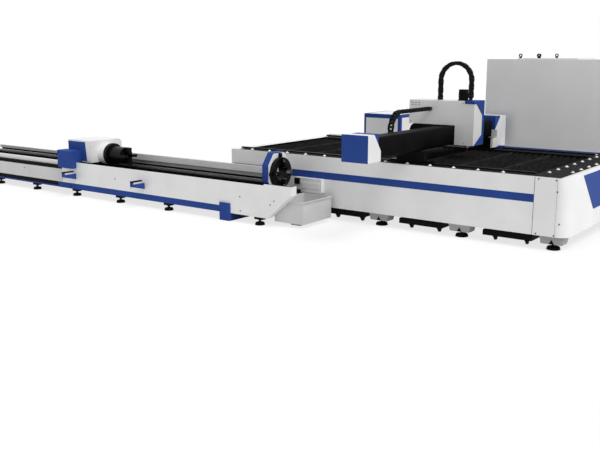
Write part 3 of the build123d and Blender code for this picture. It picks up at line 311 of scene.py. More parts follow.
def add_screw(bm, place, normal, radius=SCREW_RADIUS):
    """Pan head screw with a six-sided boss for its socket."""
    place, normal = Vector(place), Vector(normal).normalized()
    head = normal * radius * SCREW_HEAD
    add_rod(bm, place, place + head, radius, sides=16, rounding=radius * SCREW_ROUND)
    add_rod(bm, place + head * SOCKET_FOOT, place + head * SOCKET_TOP, radius * SOCKET_RADIUS, sides=6)


def add_ring(bm, centre, axis, outer, inner, depth, sides=48):
    """Flat ring with square edges about an axis."""
    axis = Vector(axis).normalized()
    turn = axis.to_track_quat("Z", "Y").to_matrix()
    loops = []
    for radius, rise in ((outer, 0), (outer, depth), (inner, depth), (inner, 0)):
        loop = []
        for index in range(sides):
            angle = 2 * pi * index / sides
            offset = Vector((radius * cos(angle), radius * sin(angle), rise))
            loop.append(bm.verts.new(Vector(centre) + turn @ offset))
        loops.append(loop)
    for first, second in zip(loops, loops[1:] + loops[:1]):
        for index in range(sides):
            follow = (index + 1) % sides
            bm.faces.new((first[index], first[follow], second[follow], second[index]))


def piece(name, bm, material, body):
    """Turns a filled bmesh into a piece that rides on a body; one that stretches is given no body."""
    bmesh.ops.recalc_face_normals(bm, faces=bm.faces)
    mesh = bpy.data.meshes.new(name)
    bm.to_mesh(mesh)
    bm.free()
    mesh.shade_smooth()
    mesh.set_sharp_from_angle(angle=SHARP_ANGLE)
    mesh.materials.append(material)
    made = bpy.data.objects.new(name, mesh)
    bpy.context.scene.collection.objects.link(made)
    if body:
        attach(made, body)
        flat = made.modifiers.new("flat_faces", "WEIGHTED_NORMAL")
        flat.keep_sharp = True
    return made


def islands(node):
    """Low and high corners of each loose part of a CAD node, from left to right."""
    bm = bmesh.new()
    bm.from_mesh(nodes[node].data)
    bmesh.ops.remove_doubles(bm, verts=bm.verts, dist=SKIN / 100)
    waiting, found = set(bm.verts), []
    while waiting:
        group, edge_of_group = set(), [waiting.pop()]
        while edge_of_group:
            vert = edge_of_group.pop()
            group.add(vert)
            for other in (edge.other_vert(vert) for edge in vert.link_edges):
                if other in waiting:
                    waiting.remove(other)
                    edge_of_group.append(other)
        places = [vert.co for vert in group]
        low = Vector([min(place[axis] for place in places) for axis in range(3)])
        high = Vector([max(place[axis] for place in places) for axis in range(3)])
        found.append((low, high))
    bm.free()
    return sorted(found, key=lambda pair: (round(pair[0].x, 4), pair[0].y))


# Materials

def nodes_of(name):
    """New node material with its shader, its object coordinates and the tree to add to."""
    material = bpy.data.materials.new(name)
    material.use_nodes = True
    tree = material.node_tree
    shader = tree.nodes["Principled BSDF"]
    place = tree.nodes.new("ShaderNodeTexCoord").outputs["Object"]
    return material, tree, shader, place


def noise(tree, place, scale, detail=3.0, stretch=None):
    """Noise value over the object's own coordinates, stretched along an axis where asked."""
    if stretch:
        mapping = tree.nodes.new("ShaderNodeMapping")
        mapping.inputs["Scale"].default_value = stretch
        tree.links.new(place, mapping.inputs["Vector"])
        place = mapping.outputs["Vector"]
    texture = tree.nodes.new("ShaderNodeTexNoise")
    texture.inputs["Scale"].default_value = scale
    texture.inputs["Detail"].default_value = detail
    tree.links.new(place, texture.inputs["Vector"])
    return texture.outputs["Fac"]


def ramp(tree, value, first, second, low, high):
    """Colour between two colours as a value goes from low to high."""
    band = tree.nodes.new("ShaderNodeValToRGB")
    band.color_ramp.elements[0].position = low
    band.color_ramp.elements[0].color = (*first, 1)
    band.color_ramp.elements[1].position = high
    band.color_ramp.elements[1].color = (*second, 1)
    tree.links.new(value, band.inputs["Fac"])
    return band.outputs["Color"]


def spread(tree, value, low, high):
    """Value from 0 to 1 spread over a new range."""
    change = tree.nodes.new("ShaderNodeMapRange")
    change.inputs["To Min"].default_value = low
    change.inputs["To Max"].default_value = high
    tree.links.new(value, change.inputs["Value"])
    return change.outputs["Result"]


def bump(tree, shader, height, strength, distance, edge=0.0):
    """Bump from a height, over edges that look rounded where asked."""
    relief = tree.nodes.new("ShaderNodeBump")
    relief.inputs["Strength"].default_value = strength
    relief.inputs["Distance"].default_value = distance
    tree.links.new(height, relief.inputs["Height"])
    if edge:
        soft = tree.nodes.new("ShaderNodeBevel")
        soft.samples = 4
        soft.inputs["Radius"].default_value = edge
        tree.links.new(soft.outputs["Normal"], relief.inputs["Normal"])
    tree.links.new(relief.outputs["Normal"], shader.inputs["Normal"])


def shade(colour, factor):
    """Darker or brighter shade of a colour."""
    return tuple(channel * factor for channel in colour)


def tint(tree, shader, value, colour, dark, bright, low=0.3, high=0.7):
    """Base colour from a darker to a brighter shade of a colour, as a value goes from low to high."""
    band = ramp(tree, value, shade(colour, dark), shade(colour, bright), low, high)
    tree.links.new(band, shader.inputs["Base Color"])


def gloss(tree, shader, value, low, high):
    """Roughness spread over a range by a value from 0 to 1."""
    tree.links.new(spread(tree, value, low, high), shader.inputs["Roughness"])


def paint(name, colour, roughness=0.4, mottle=0.05, peel=0.12, sheen=0.5):
    """Powder coat: slow change of tone, uneven gloss and a fine orange peel."""
    material, tree, shader, place = nodes_of(name)
    shader.inputs["Specular IOR Level"].default_value = sheen
    tint(tree, shader, noise(tree, place, scale=2.2), colour, 1 - mottle, 1 + mottle)
    gloss(tree, shader, noise(tree, place, scale=14), roughness - 0.06, roughness + 0.08)
    bump(tree, shader, noise(tree, place, scale=320, detail=2), strength=peel, distance=0.0006, edge=0.004)
    return material


def slat_steel(name, colour):
    """Burnt slat steel: soot and scale."""
    material, tree, shader, place = nodes_of(name)
    shader.inputs["Specular IOR Level"].default_value = DULL
    tint(tree, shader, noise(tree, place, scale=7, detail=6), colour, 0.6, 1.5, low=0.35, high=0.75)
    gloss(tree, shader, noise(tree, place, scale=40, detail=5), 0.55, 0.8)
    shader.inputs["Metallic"].default_value = 0.3
    bump(tree, shader, noise(tree, place, scale=180, detail=6), strength=0.35, distance=0.0012)
    return material


def machined(name, colour, grain=(1, 40, 40), roughness=0.32):
    """Ground or turned metal with fine tool lines along one axis."""
    material, tree, shader, place = nodes_of(name)
    lines = noise(tree, place, scale=9, detail=4, stretch=grain)
    tint(tree, shader, lines, colour, 0.78, 1.2)
    gloss(tree, shader, lines, roughness - 0.08, roughness + 0.12)
    shader.inputs["Metallic"].default_value = 0.9
    bump(tree, shader, lines, strength=0.1, distance=0.0004, edge=0.002)
    return material


def plastic(name, colour, roughness=0.5, grain=500, sheen=0.5):
    """Moulded plastic with a fine grain and slight gloss changes."""
    material, tree, shader, place = nodes_of(name)
    shader.inputs["Specular IOR Level"].default_value = sheen
    tint(tree, shader, noise(tree, place, scale=6), colour, 0.85, 1.15)
    gloss(tree, shader, noise(tree, place, scale=30), roughness - 0.08, roughness + 0.1)
    bump(tree, shader, noise(tree, place, scale=grain, detail=2), strength=0.15, distance=0.0004)
    return material


def coated_cloth(name):
    """Coated bellows cloth with a fine weave."""
    material, tree, shader, place = nodes_of(name)
    shader.inputs["Specular IOR Level"].default_value = DULL
    weave = tree.nodes.new("ShaderNodeTexChecker")
    weave.inputs["Scale"].default_value = 700
    tree.links.new(place, weave.inputs["Vector"])
    tint(tree, shader, noise(tree, place, scale=5), BLACK, 0.8, 1.5)
    gloss(tree, shader, noise(tree, place, scale=60), 0.5, 0.7)
    bump(tree, shader, weave.outputs["Fac"], strength=0.2, distance=0.0003)
    return material


white = paint("white_paint", WHITE, 0.36)
pale = paint("pale_grey_paint", PALE_GREY, 0.42)
cabinet_grey = paint("cabinet_grey_paint", CABINET_GREY, 0.46, mottle=0.03)
# Rear cover's left lip: its darker grey is painted shade
shaded_lip_grey = paint("shaded_lip_grey_paint", SHADED_LIP_GREY, 0.5)
frame_grey = paint("frame_grey_paint", FRAME_GREY, 0.5)
blue = paint("blue_paint", BLUE, 0.5, mottle=0.08, sheen=DULL)
black = paint("black_paint", BLACK, 0.6, mottle=0.15, sheen=DULL)
# This black is also painted shade on the sheet inside the rear cover; on seams, hinges and fittings it is the
# parts' own dark
seam_and_shade_black = paint("seam_and_shade_black", shade(BLACK, 0.7), 0.7, mottle=0.2, sheen=DULL)
burnt = slat_steel("burnt_slat_steel", TABLE_BLACK)
worn = slat_steel("worn_seam_steel", WORN_STEEL)
steel = machined("ground_steel", STEEL)
turned = machined("turned_steel", STEEL, grain=(40, 1, 1))
oxide = machined("black_oxide", DARK_STEEL, grain=(30, 3, 3), roughness=0.4)
jaw_steel = machined("jaw_steel", JAW_STEEL, roughness=0.45)
anodised = machined("anodised_head", HEAD_GREY, grain=(20, 20, 1), roughness=0.4)
copper = machined("turned_copper", COPPER, grain=(4, 4, 60), roughness=0.25)
link_plastic = plastic("chain_plastic", BLACK, 0.5, sheen=2 * DULL)
rubber = plastic("foot_rubber", BLACK, 0.7, grain=300, sheen=DULL)
nylon = plastic("ball_nylon", NYLON, 0.3, grain=200)
cloth = coated_cloth("bellows_cloth")

NODE_MATERIALS = {
    white: ("bed_front_panel", "bed_rear_panel", "bed_left_panel", "bed_end_cover", "end_covers",
            "carriage_cover", "tube_front_cover", "guide_beam", "rear_housing", "front_chuck_face",
            "equipment_panel", "drive_box"),
    pale: ("scrap_bin", "tube_left_panel", "tube_rear_cover"),
    frame_grey: ("bed_frame",),
    cabinet_grey: ("cabinet_body",),
    blue: ("bed_end_trim", "carriage_trim", "end_plates", "tube_base_rail", "rest_hooks", "rear_side_panel",
           "rear_motor_cover", "front_chuck_housing", "equipment_box"),
    black: ("gantry_beam", "gantry_saddles", "slag_cart_1", "slag_cart_2", "slag_cart_3", "end_strip",
            "tube_frame", "hook_bars", "lift_motor", "lifting_eyes", "carriage_plate", "rear_base"),
    burnt: ("slat_table",),
    steel: ("beam_rails", "tube_rails"),
    jaw_steel: ("jaw_back",),
    oxide: ("gantry_rails", "lift_slide", "front_chuck_disc", "jaw_top", "jaw_front", "jaw_bottom",
            "rear_chuck"),
    anodised: ("cutting_head",),
    copper: ("nozzle",),
    link_plastic: ("chain_lower", "chain_upper", "chain_bend", "lift_chain"),
    cloth: ("bellows_front", "bellows_rear"),
    nylon: ("ball_transfers",),
    rubber: ("bed_feet", "tube_feet"),
}
for material, names in NODE_MATERIALS.items():
    for name in names:
        nodes[name].data.materials.clear()
        nodes[name].data.materials.append(material)


# Plate bed

def front_stripe():
    """Blue stripe along the front panel."""
    low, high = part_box("bed_front_panel")
    bm = bmesh.new()
    add_block(bm, (low.x + STRIPE_LEFT, low.y - SKIN, STRIPE_LOW),
              (high.x, low.y, STRIPE_LOW + STRIPE_HEIGHT), SKIN / 3)
    piece("front_stripe", bm, blue, "base")


def bed_seams():
    """Dark seams beside and on the right end cover, front and back."""
    low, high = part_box("bed_front_panel")
    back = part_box("bed_rear_panel")[1].y
    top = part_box("bed_end_cover")[1].z
    bm = bmesh.new()
    for face, normal in ((low.y, -1), (back, 1)):
        inner, outer = sorted((face, face + normal * SKIN / 2))
        for x, width in ((high.x, SEAM_WIDTH), (corner_x(END_SEAM), END_SEAM_WIDTH)):
            add_block(bm, (x - width / 2, inner, low.z), (x + width / 2, outer, top))
    piece("panel_seams", bm, seam_and_shade_black, "base")


def end_cover_screws():
    """Screws on the right end cover, front and back."""
    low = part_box("bed_end_cover")[0]
    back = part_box("bed_end_cover")[1].y
    bm = bmesh.new()
    for x, z in END_SCREWS:
        add_screw(bm, (corner_x(x), low.y, z), (0, -1, 0))
        add_screw(bm, (corner_x(x), back, z), (0, 1, 0))
    piece("end_cover_screws", bm, oxide, "base")


def back_strip():
    """Blue strip along the right part of the rear panel's top edge."""
    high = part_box("bed_rear_panel")[1]
    left, front = corner_x(BACK_STRIP_LEFT), high.y - BACK_STRIP_WIDTH
    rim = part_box("end_strip")[0].z
    bm = bmesh.new()
    add_block(bm, (left, front, rim + SKIN), (high.x, front + SKIN * 2, high.z), SKIN / 2)
    piece("back_strip", bm, blue, "base")


def levelling_feet(node, name, cap=0.0):
    """Round rubber pads, studs with two nuts each, and a cap under the rail where there is one."""
    pads, studs = bmesh.new(), bmesh.new()
    for low, high in islands(node):
        centre = Vector(((low.x + high.x) / 2, (low.y + high.y) / 2, 0))
        radius = (high.x - low.x) / 2
        top = high.z - cap
        add_rod(pads, centre, centre + UP * PAD_HEIGHT, radius, sides=40,
                end_radius=radius * PAD_TAPER, rounding=PAD_ROUND)
        add_rod(studs, centre + UP * PAD_HEIGHT, centre + UP * top, STUD_RADIUS, sides=20)
        for rise in (PAD_HEIGHT, top - NUT_HEIGHT):
            add_rod(studs, centre + UP * rise, centre + UP * (rise + NUT_HEIGHT), NUT_RADIUS,
                    sides=6, rounding=SKIN)
        if cap:
            half = Vector((radius, FOOT_CAP_DEPTH / 2, 0))
            add_block(pads, centre - half + UP * top, centre + half + UP * high.z, SKIN * 2)
    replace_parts(piece(name + "_pads", pads, rubber, "base"), node)
    piece(name + "_studs", studs, oxide, "base")


def foot_bracket_triangles():
    """Black triangular plates on the faces of the foot brackets, front and back."""
    bm = bmesh.new()
    foot_of_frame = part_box("bed_frame")[0].z
    feet = islands("bed_feet")
    front_row = min(low.y for low, high in feet)
    for low, high in feet:
        centre = (low + high) / 2
        out = -1 if low.y < front_row + ROW_TOLERANCE else 1
        face = centre.y + out * BRACKET_DEPTH / 2
        points = [Vector((centre.x - BRACKET_TRIANGLE_WIDTH / 2, face, foot_of_frame)),
                  Vector((centre.x + BRACKET_TRIANGLE_WIDTH / 2, face, foot_of_frame)),
                  Vector((centre.x, face, foot_of_frame + BRACKET_TRIANGLE_HEIGHT))]
        add_plate(bm, points, (0, out * SKIN * 2, 0))
    piece("foot_bracket_triangles", bm, seam_and_shade_black, "base")


def rail_caps(node, body, name):
    """Dark caps over the bolt holes along the top of each rail."""
    bm = bmesh.new()
    for low, high in islands(node):
        count = int((high.x - low.x) / RAIL_CAP_PITCH)
        for index in range(count):
            x = low.x + (index + 0.5) * (high.x - low.x) / count
            place = Vector((x, (low.y + high.y) / 2, high.z))
            add_rod(bm, place, place + UP * RAIL_CAP_RISE, RAIL_CAP_RADIUS, sides=12)
    piece(name, bm, oxide, body)


def ball_transfers():
    """Ball transfers: round flange, collar and a smooth ball."""
    bm = bmesh.new()
    for low, high in islands("ball_transfers"):
        centre = Vector(((low.x + high.x) / 2, (low.y + high.y) / 2, low.z))
        radius = (high.x - low.x) / 2
        height = high.z - low.z
        flange, collar = centre + UP * height * FLANGE_TOP, centre + UP * height * COLLAR_TOP
        add_rod(bm, centre, flange, radius, sides=24, rounding=SKIN)
        add_rod(bm, flange, collar, radius * COLLAR_FOOT_RADIUS, sides=24,
                end_radius=radius * COLLAR_TOP_RADIUS)
        ball = height * BALL_RADIUS
        bmesh.ops.create_uvsphere(bm, u_segments=20, v_segments=12, radius=ball,
                                  matrix=Matrix.Translation(centre + UP * (height - ball)))
    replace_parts(piece("ball_transfer_set", bm, nylon, "base"), "ball_transfers")


def slat_outline(x, front, back, bottom, top):
    """Saw-tooth outline of one slat across the table."""
    count = round((back - front) / TOOTH_PITCH)
    points = [Vector((x, front, bottom)), Vector((x, front, top - TOOTH_DEPTH))]
    for tooth in range(count):
        points.append(Vector((x, front + (back - front) * (tooth + 0.5) / count, top)))
        points.append(Vector((x, front + (back - front) * (tooth + 1) / count, top - TOOTH_DEPTH)))
    points.append(Vector((x, back, bottom)))
    return points


def slat_table():
    """Fine-toothed slats over a bar frame, seam plates between the modules, dark liner round them."""
    low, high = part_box("slat_table")
    module = (high.x - low.x) / TABLE_MODULES
    pitch = module / (MODULE_SLATS + 1)
    bars, seams, liner = bmesh.new(), bmesh.new(), bmesh.new()
    for index in range(TABLE_MODULES):
        for slat in range(MODULE_SLATS):
            x = low.x + index * module + (slat + 1) * pitch - SLAT_THICKNESS / 2
            outline = slat_outline(x, low.y, high.y, low.z + SLAT_RISE, high.z)
            add_plate(bars, outline, (SLAT_THICKNESS, 0, 0))
        if index:
            x = low.x + index * module
            add_block(seams, (x - SEAM_PLATE_WIDTH / 2, low.y, low.z),
                      (x + SEAM_PLATE_WIDTH / 2, high.y, high.z - SEAM_PLATE_DROP), SKIN)
    bar_top = low.z + TABLE_BAR_HEIGHT
    middle = (low.y + high.y - TABLE_BAR_WIDTH) / 2
    for y in (low.y, middle, high.y - TABLE_BAR_WIDTH):
        add_block(bars, (low.x, y, low.z), (high.x, y + TABLE_BAR_WIDTH, bar_top), SKIN)
    for x in (low.x, high.x - TABLE_BAR_WIDTH):
        add_block(bars, (x, low.y, low.z), (x + TABLE_BAR_WIDTH, high.y, bar_top), SKIN)
    gap = Vector((TABLE_GAP, TABLE_GAP, 0))
    wall_low, wall_high = low - gap, high + gap
    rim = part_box("bed_front_panel")[1].z
    for x in (wall_low.x, wall_high.x - SKIN):
        add_block(liner, (x, wall_low.y, low.z), (x + SKIN, wall_high.y, rim))
    for y in (wall_low.y, wall_high.y - SKIN):
        add_block(liner, (wall_low.x, y, low.z), (wall_high.x, y + SKIN, rim))
    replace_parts(piece("slat_table_slats", bars, burnt, "base"), "slat_table")
    piece("slat_table_seams", seams, worn, "base")
    piece("slat_table_liner", liner, seam_and_shade_black, "base")


# Gantry and carriage

def bellows(node, name):
    """Pleated cover over the beam's rails: stretches between the beam's end and the carriage."""
    low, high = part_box(node)
    length = high.y - low.y
    rows = 2 * round(length / PLEAT_PITCH)
    bm = bmesh.new()
    loops = []
    for row in range(rows + 1):
        inset = 0.0 if row % 2 else PLEAT_DEPTH
        y = low.y + length * row / rows
        right, bottom, top = high.x - inset, low.z + inset / 2, high.z - inset / 2
        outline = [(low.x, bottom), (right - BELLOWS_CORNER, bottom), (right, bottom + BELLOWS_CORNER),
                   (right, top - BELLOWS_CORNER), (right - BELLOWS_CORNER, top), (low.x, top)]
        loops.append([bm.verts.new((x, y, z)) for x, z in outline])
    for first, second in zip(loops, loops[1:]):
        for index in range(len(first) - 1):
            bm.faces.new((first[index], first[index + 1], second[index + 1], second[index]))
    bmesh.ops.recalc_face_normals(bm, faces=bm.faces)
    bmesh.ops.solidify(bm, geom=bm.faces[:], thickness=CLOTH_THICKNESS)
    made = piece(name, bm, cloth, None)
    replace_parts(made, node)
    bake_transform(made)


def link_mesh(height, width, outer):
    """One chain link along X: two rounded side plates with pin bosses and two cross bars."""
    bm = bmesh.new()
    half_width = width / 2 - (0 if outer else PLATE_THICKNESS)
    radius = height * (OUTER_LINK if outer else INNER_LINK)
    for side in (-1, 1):
        outline = []
        for end in (1, -1):
            for step in range(LINK_STEPS + 1):
                angle = pi * step / LINK_STEPS - end * pi / 2
                outline.append(Vector((end * LINK_PITCH / 2 + radius * LINK_END * cos(angle),
                                       side * half_width, radius * sin(angle))))
        add_plate(bm, outline, (0, -side * PLATE_THICKNESS, 0))
        boss = Vector((LINK_PITCH / 2, side * half_width, 0))
        depth = Vector((0, side * PLATE_THICKNESS, 0))
        add_rod(bm, boss - depth, boss + depth / 6, radius * LINK_BOSS, sides=10)
    for rise in (-1, 1):
        middle = rise * (height / 2 - BAR_THICKNESS)
        add_block(bm, (-LINK_PITCH * LINK_BAR, -half_width + PLATE_THICKNESS, middle - BAR_THICKNESS / 2),
                  (LINK_PITCH * LINK_BAR, half_width - PLATE_THICKNESS, middle + BAR_THICKNESS / 2), SKIN / 2)
    mesh = bpy.data.meshes.new("link")
    bm.to_mesh(mesh)
    bm.free()
    return mesh


def add_links(bm, places, height, width, first=0):
    """A link at each place, outer and inner by turns."""
    kinds = [link_mesh(height, width, outer) for outer in (True, False)]
    for index, place in enumerate(places):
        start = len(bm.verts)
        bm.from_mesh(kinds[(first + index) % 2])
        bm.verts.ensure_lookup_table()
        bmesh.ops.transform(bm, matrix=place, verts=bm.verts[start:])
    for mesh in kinds:
        bpy.data.meshes.remove(mesh)
    return first + len(places)


def frame_matrix(place, along, across):
    """Place with local X along the chain, local Y across it."""
    along, across = Vector(along).normalized(), Vector(across).normalized()
    up = along.cross(across)
    turn = Matrix((along, across, up)).transposed().to_4x4()
    return Matrix.Translation(place) @ turn


def straight_chain(bm, start, end, across, height, width, first=0):
    """Row of links between two points; returns the number of the next link."""
    start, end = Vector(start), Vector(end)
    count = max(2, round((end - start).length / LINK_PITCH))
    places = [frame_matrix(start.lerp(end, (index + 0.5) / count), end - start, across)
              for index in range(count)]
    return add_links(bm, places, height, width, first)


def arc_chain(bm, centre, radius, start, sweep, axes, across, height, width, first=0):
    """Links round an arc in the plane of two axes; returns the number of the next link."""
    count = max(3, round(abs(sweep) * radius / LINK_PITCH))
    across_plane = [Vector(axis) for axis in axes]
    places = []
    for index in range(count):
        angle = start + sweep * (index + 0.5) / count
        out = across_plane[0] * cos(angle) + across_plane[1] * sin(angle)
        along = across_plane[1] * cos(angle) - across_plane[0] * sin(angle)
        places.append(frame_matrix(Vector(centre) + out * radius, along if sweep > 0 else -along, across))
    return add_links(bm, places, height, width, first)


def carriage_chain():
    """Drag chain of the carriage: lower strand, bend and upper strand."""
    low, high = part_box("chain_lower")
    upper_low, upper_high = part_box("chain_upper")
    height, width = high.z - low.z, high.x - low.x
    middle = (low.x + high.x) / 2
    across = (1, 0, 0)
    z_low, z_high = (low.z + high.z) / 2, (upper_low.z + upper_high.z) / 2
    bm = bmesh.new()
    straight_chain(bm, (middle, low.y, z_low), (middle, high.y, z_low), across, height, width)
    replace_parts(piece("chain_lower_links", bm, link_plastic, "gantry"), "chain_lower")
    bm = bmesh.new()
    straight_chain(bm, (middle, upper_low.y, z_high), (middle, upper_high.y, z_high), across, height, width)
    upper = piece("chain_upper_links", bm, link_plastic, None)
    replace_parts(upper, "chain_upper")
    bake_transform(upper)
    bm = bmesh.new()
    centre = (middle, upper_low.y, (z_low + z_high) / 2)
    arc_chain(bm, centre, (z_high - z_low) / 2, pi / 2 + BEND_LEAD, pi - BEND_LEAD,
              ((0, 1, 0), (0, 0, 1)), across, height, width, 1)
    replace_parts(piece("chain_bend_links", bm, link_plastic, "chain_bend"), "chain_bend")


def lift_chain():
    """Upright drag chain of the lift: two legs and an arch."""
    low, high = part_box("lift_chain")
    roof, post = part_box("carriage_cover")[1].z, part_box("lift_slide")[1].z
    height, width = LIFT_LINK_HEIGHT, high.y - low.y
    left, right = low.x + height / 2, high.x - height / 2
    middle, radius = (left + right) / 2, (right - left) / 2
    spring = high.z - height / 2 - radius
    y = (low.y + high.y) / 2
    bm = bmesh.new()
    across = (0, 1, 0)
    follow = straight_chain(bm, (left, y, roof), (left, y, spring), across, height, width)
    follow = arc_chain(bm, (middle, y, spring), radius, pi, -pi, ((1, 0, 0), (0, 0, 1)),
                       across, height, width, follow)
    straight_chain(bm, (right, y, spring), (right, y, post), across, height, width, follow)
    made = piece("lift_chain_links", bm, link_plastic, None)
    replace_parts(made, "lift_chain")
    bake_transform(made)


def carriage_details():
    """Vent slots and edge screws on the carriage cover, front and back."""
    low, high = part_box("carriage_cover")
    trim_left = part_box("carriage_trim")[0].x
    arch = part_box("bellows_front")[1].z
    slots, screws = bmesh.new(), bmesh.new()
    for face, normal in ((low.y, -1), (high.y, 1)):
        inner, outer = sorted((face, face + normal * SKIN / 2))
        for row in range(VENT_ROWS):
            for column in range(VENT_COLUMNS):
                x = low.x + VENT_LEFT + column * VENT_PITCH
                z = high.z - VENT_DROP - row * VENT_ROW_PITCH
                add_block(slots, (x, inner, z), (x + VENT_LENGTH, outer, z + VENT_HEIGHT), SKIN / 4)
        for x, z in ((low.x + EDGE_INSET, arch + 1.5 * EDGE_INSET), (low.x + EDGE_INSET, high.z - EDGE_INSET),
                     (trim_left, low.z + EDGE_INSET), (trim_left - EDGE_INSET, high.z - EDGE_INSET)):
            add_screw(screws, (x, face, z), (0, normal, 0), EDGE_SCREW_RADIUS)
    piece("carriage_vents", slots, seam_and_shade_black, "carriage")
    piece("carriage_screws", screws, oxide, "carriage")


def carriage_skirts():
    """Black skirt plates below the left part of the carriage cover, front and back, over the drag chain."""
    low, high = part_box("carriage_cover")
    bm = bmesh.new()
    left = SKIRT_CURVE[0][0]
    outline = [*SKIRT_CURVE, (SKIRT_RIGHT, COVER_ARCH), (SKIRT_RIGHT, SKIRT_FOOT), (left, SKIRT_FOOT)]
    for y in (low.y + SKIN, high.y - SKIN - SKIRT_THICKNESS):
        add_plate(bm, [Vector((corner_x(x), y, z)) for x, z in outline], (0, SKIRT_THICKNESS, 0))
    piece("carriage_skirts", bm, black, "carriage")


def head_details():
    """Bands and a lens drawer on the cutting head, lock ring and collar over the nozzle."""
    low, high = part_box("cutting_head")
    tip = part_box("nozzle")[1]
    centre = Vector(((low.x + high.x) / 2, (low.y + high.y) / 2, 0))
    half, height = (high.x - low.x) / 2, high.z - low.z
    reach = half + SKIN
    dark, bright = bmesh.new(), bmesh.new()
    for rise in HEAD_BANDS:
        z = low.z + height * rise
        add_block(dark, (centre.x - reach, centre.y - reach, z),
                  (centre.x + reach, centre.y + reach, z + half * HEAD_BAND_HEIGHT), SKIN)
    side = half * DRAWER_WIDTH
    add_block(bright, (centre.x + half, centre.y - side, low.z + height * DRAWER_LOW),
              (centre.x + half + SKIN * 3, centre.y + side, low.z + height * DRAWER_HIGH), SKIN)
    add_rod(bright, centre + UP * (tip.z + SKIN), centre + UP * (tip.z + half * LOCK_RING_HEIGHT),
            half * LOCK_RING_RADIUS, sides=32, rounding=SKIN)
    add_rod(dark, centre + UP * (tip.z - SKIN), centre + UP * (tip.z + SKIN * 2), half * COLLAR_RADIUS,
            sides=32)
    piece("head_bands", dark, oxide, "lift")
    piece("head_fittings", bright, turned, "lift")


def motor_details():
    """Flange, connector block and fins of the lift motor."""
    low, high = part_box("lift_motor")
    bm = bmesh.new()
    lip = SKIN * 3
    add_block(bm, (low.x - lip, low.y - lip, low.z), (high.x + lip, high.y + lip, low.z + MOTOR_FLANGE), SKIN)
    add_block(bm, (low.x + CONNECTOR_INSET, high.y, high.z - CONNECTOR_FOOT),
              (high.x - CONNECTOR_INSET, high.y + CONNECTOR_DEPTH, high.z - CONNECTOR_TOP), CONNECTOR_ROUND)
    for rise in MOTOR_FINS:
        z = low.z + (high.z - low.z) * rise
        add_block(bm, (low.x - SKIN, low.y - SKIN, z),
                  (high.x + SKIN, high.y + SKIN, z + MOTOR_FIN_HEIGHT), SKIN / 2)
    piece("lift_motor_fins", bm, black, "carriage")


def saddle_wipers():
    """Wiper blocks at the ends of the saddles, over the rails: dark at the front, blue at the back."""
    rails = sorted(islands("gantry_rails"), key=lambda pair: pair[0].y)
    saddles = sorted(islands("gantry_saddles"), key=lambda pair: pair[0].y)
    gap = SKIN
    for name, material, slot, (low, high), (rail_low, rail_high) in (
            ("front_wipers", oxide, "machined_steel", saddles[0], rails[0]),
            ("rear_wipers", blue, "blue_paint", saddles[-1], rails[-1])):
        bm = bmesh.new()
        for x in ((low.x - WIPER_LENGTH, low.x), (high.x, high.x + WIPER_LENGTH)):
            for y in ((low.y, rail_low.y - gap), (rail_high.y + gap, high.y)):
                add_block(bm, (x[0], y[0], low.z), (x[1], y[1], low.z + WIPER_HEIGHT), SKIN)
            add_block(bm, (x[0], low.y, rail_high.z + gap), (x[1], high.y, low.z + WIPER_HEIGHT), SKIN)
        piece(name, bm, material, "gantry")


# Chucks and tube bed

def bolt_circle(bm, centre, radius, count, bolt):
    """Socket screws on a circle about the chuck axis."""
    for index in range(count):
        angle = pi / count + 2 * pi * index / count
        offset = Vector((0, radius * cos(angle), radius * sin(angle)))
        add_screw(bm, Vector(centre) + offset, CHUCK_AXIS, bolt)


def chuck_details():
    """Rings and socket screws on both chucks."""
    low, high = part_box("front_chuck_disc")
    centre = Vector((0, (low.y + high.y) / 2, (low.z + high.z) / 2))
    radius = (high.y - low.y) / 2
    face = Vector((high.x, centre.y, centre.z))
    rings, bolts = bmesh.new(), bmesh.new()
    for back in DISC_RINGS:
        add_ring(rings, face - Vector((back, 0, 0)), CHUCK_AXIS, radius + SKIN, radius - SKIN,
                 DISC_RING_WIDTH)
    for share, count, bolt in DISC_BOLTS:
        bolt_circle(bolts, face, radius * share, count, bolt)
    piece("front_chuck_rings", rings, oxide, "front_chuck")
    piece("front_chuck_bolts", bolts, oxide, "front_chuck")
    low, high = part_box("rear_chuck")
    disc_right = high.x - REAR_NOSE
    face = Vector((disc_right, centre.y, centre.z))
    outer = (high.y - low.y) / 2
    rings, bolts = bmesh.new(), bmesh.new()
    for back in REAR_RINGS:
        add_ring(rings, face - Vector((back, 0, 0)), CHUCK_AXIS, outer + SKIN, outer - SKIN, REAR_RING_WIDTH)
    for share, count, bolt in REAR_BOLTS:
        bolt_circle(bolts, face, outer * share, count, bolt)
    piece("rear_chuck_rings", rings, oxide, "rear_chuck")
    piece("rear_chuck_bolts", bolts, oxide, "rear_chuck")


def face_blocks():
    """Black stop blocks on the face plate of the front chuck, above and beside the disc."""
    low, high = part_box("front_chuck_face")
    disc_low, disc_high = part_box("front_chuck_disc")
    centre = (disc_low + disc_high) / 2
    half = FACE_BLOCK_WIDTH / 2
    bm = bmesh.new()
    front = high.x + FACE_BLOCK_DEPTH
    add_block(bm, (high.x, centre.y - half, disc_high.z + FACE_BLOCK_GAP),
              (front, centre.y + half, high.z), SKIN * 2)
    for near, far in ((disc_low.y - FACE_BLOCK_GAP, low.y), (disc_high.y + FACE_BLOCK_GAP, high.y)):
        first, second = sorted((near, far))
        add_block(bm, (high.x, first, centre.z - half), (front, second, centre.z + half), SKIN * 2)
    piece("front_chuck_blocks", bm, black, "base")


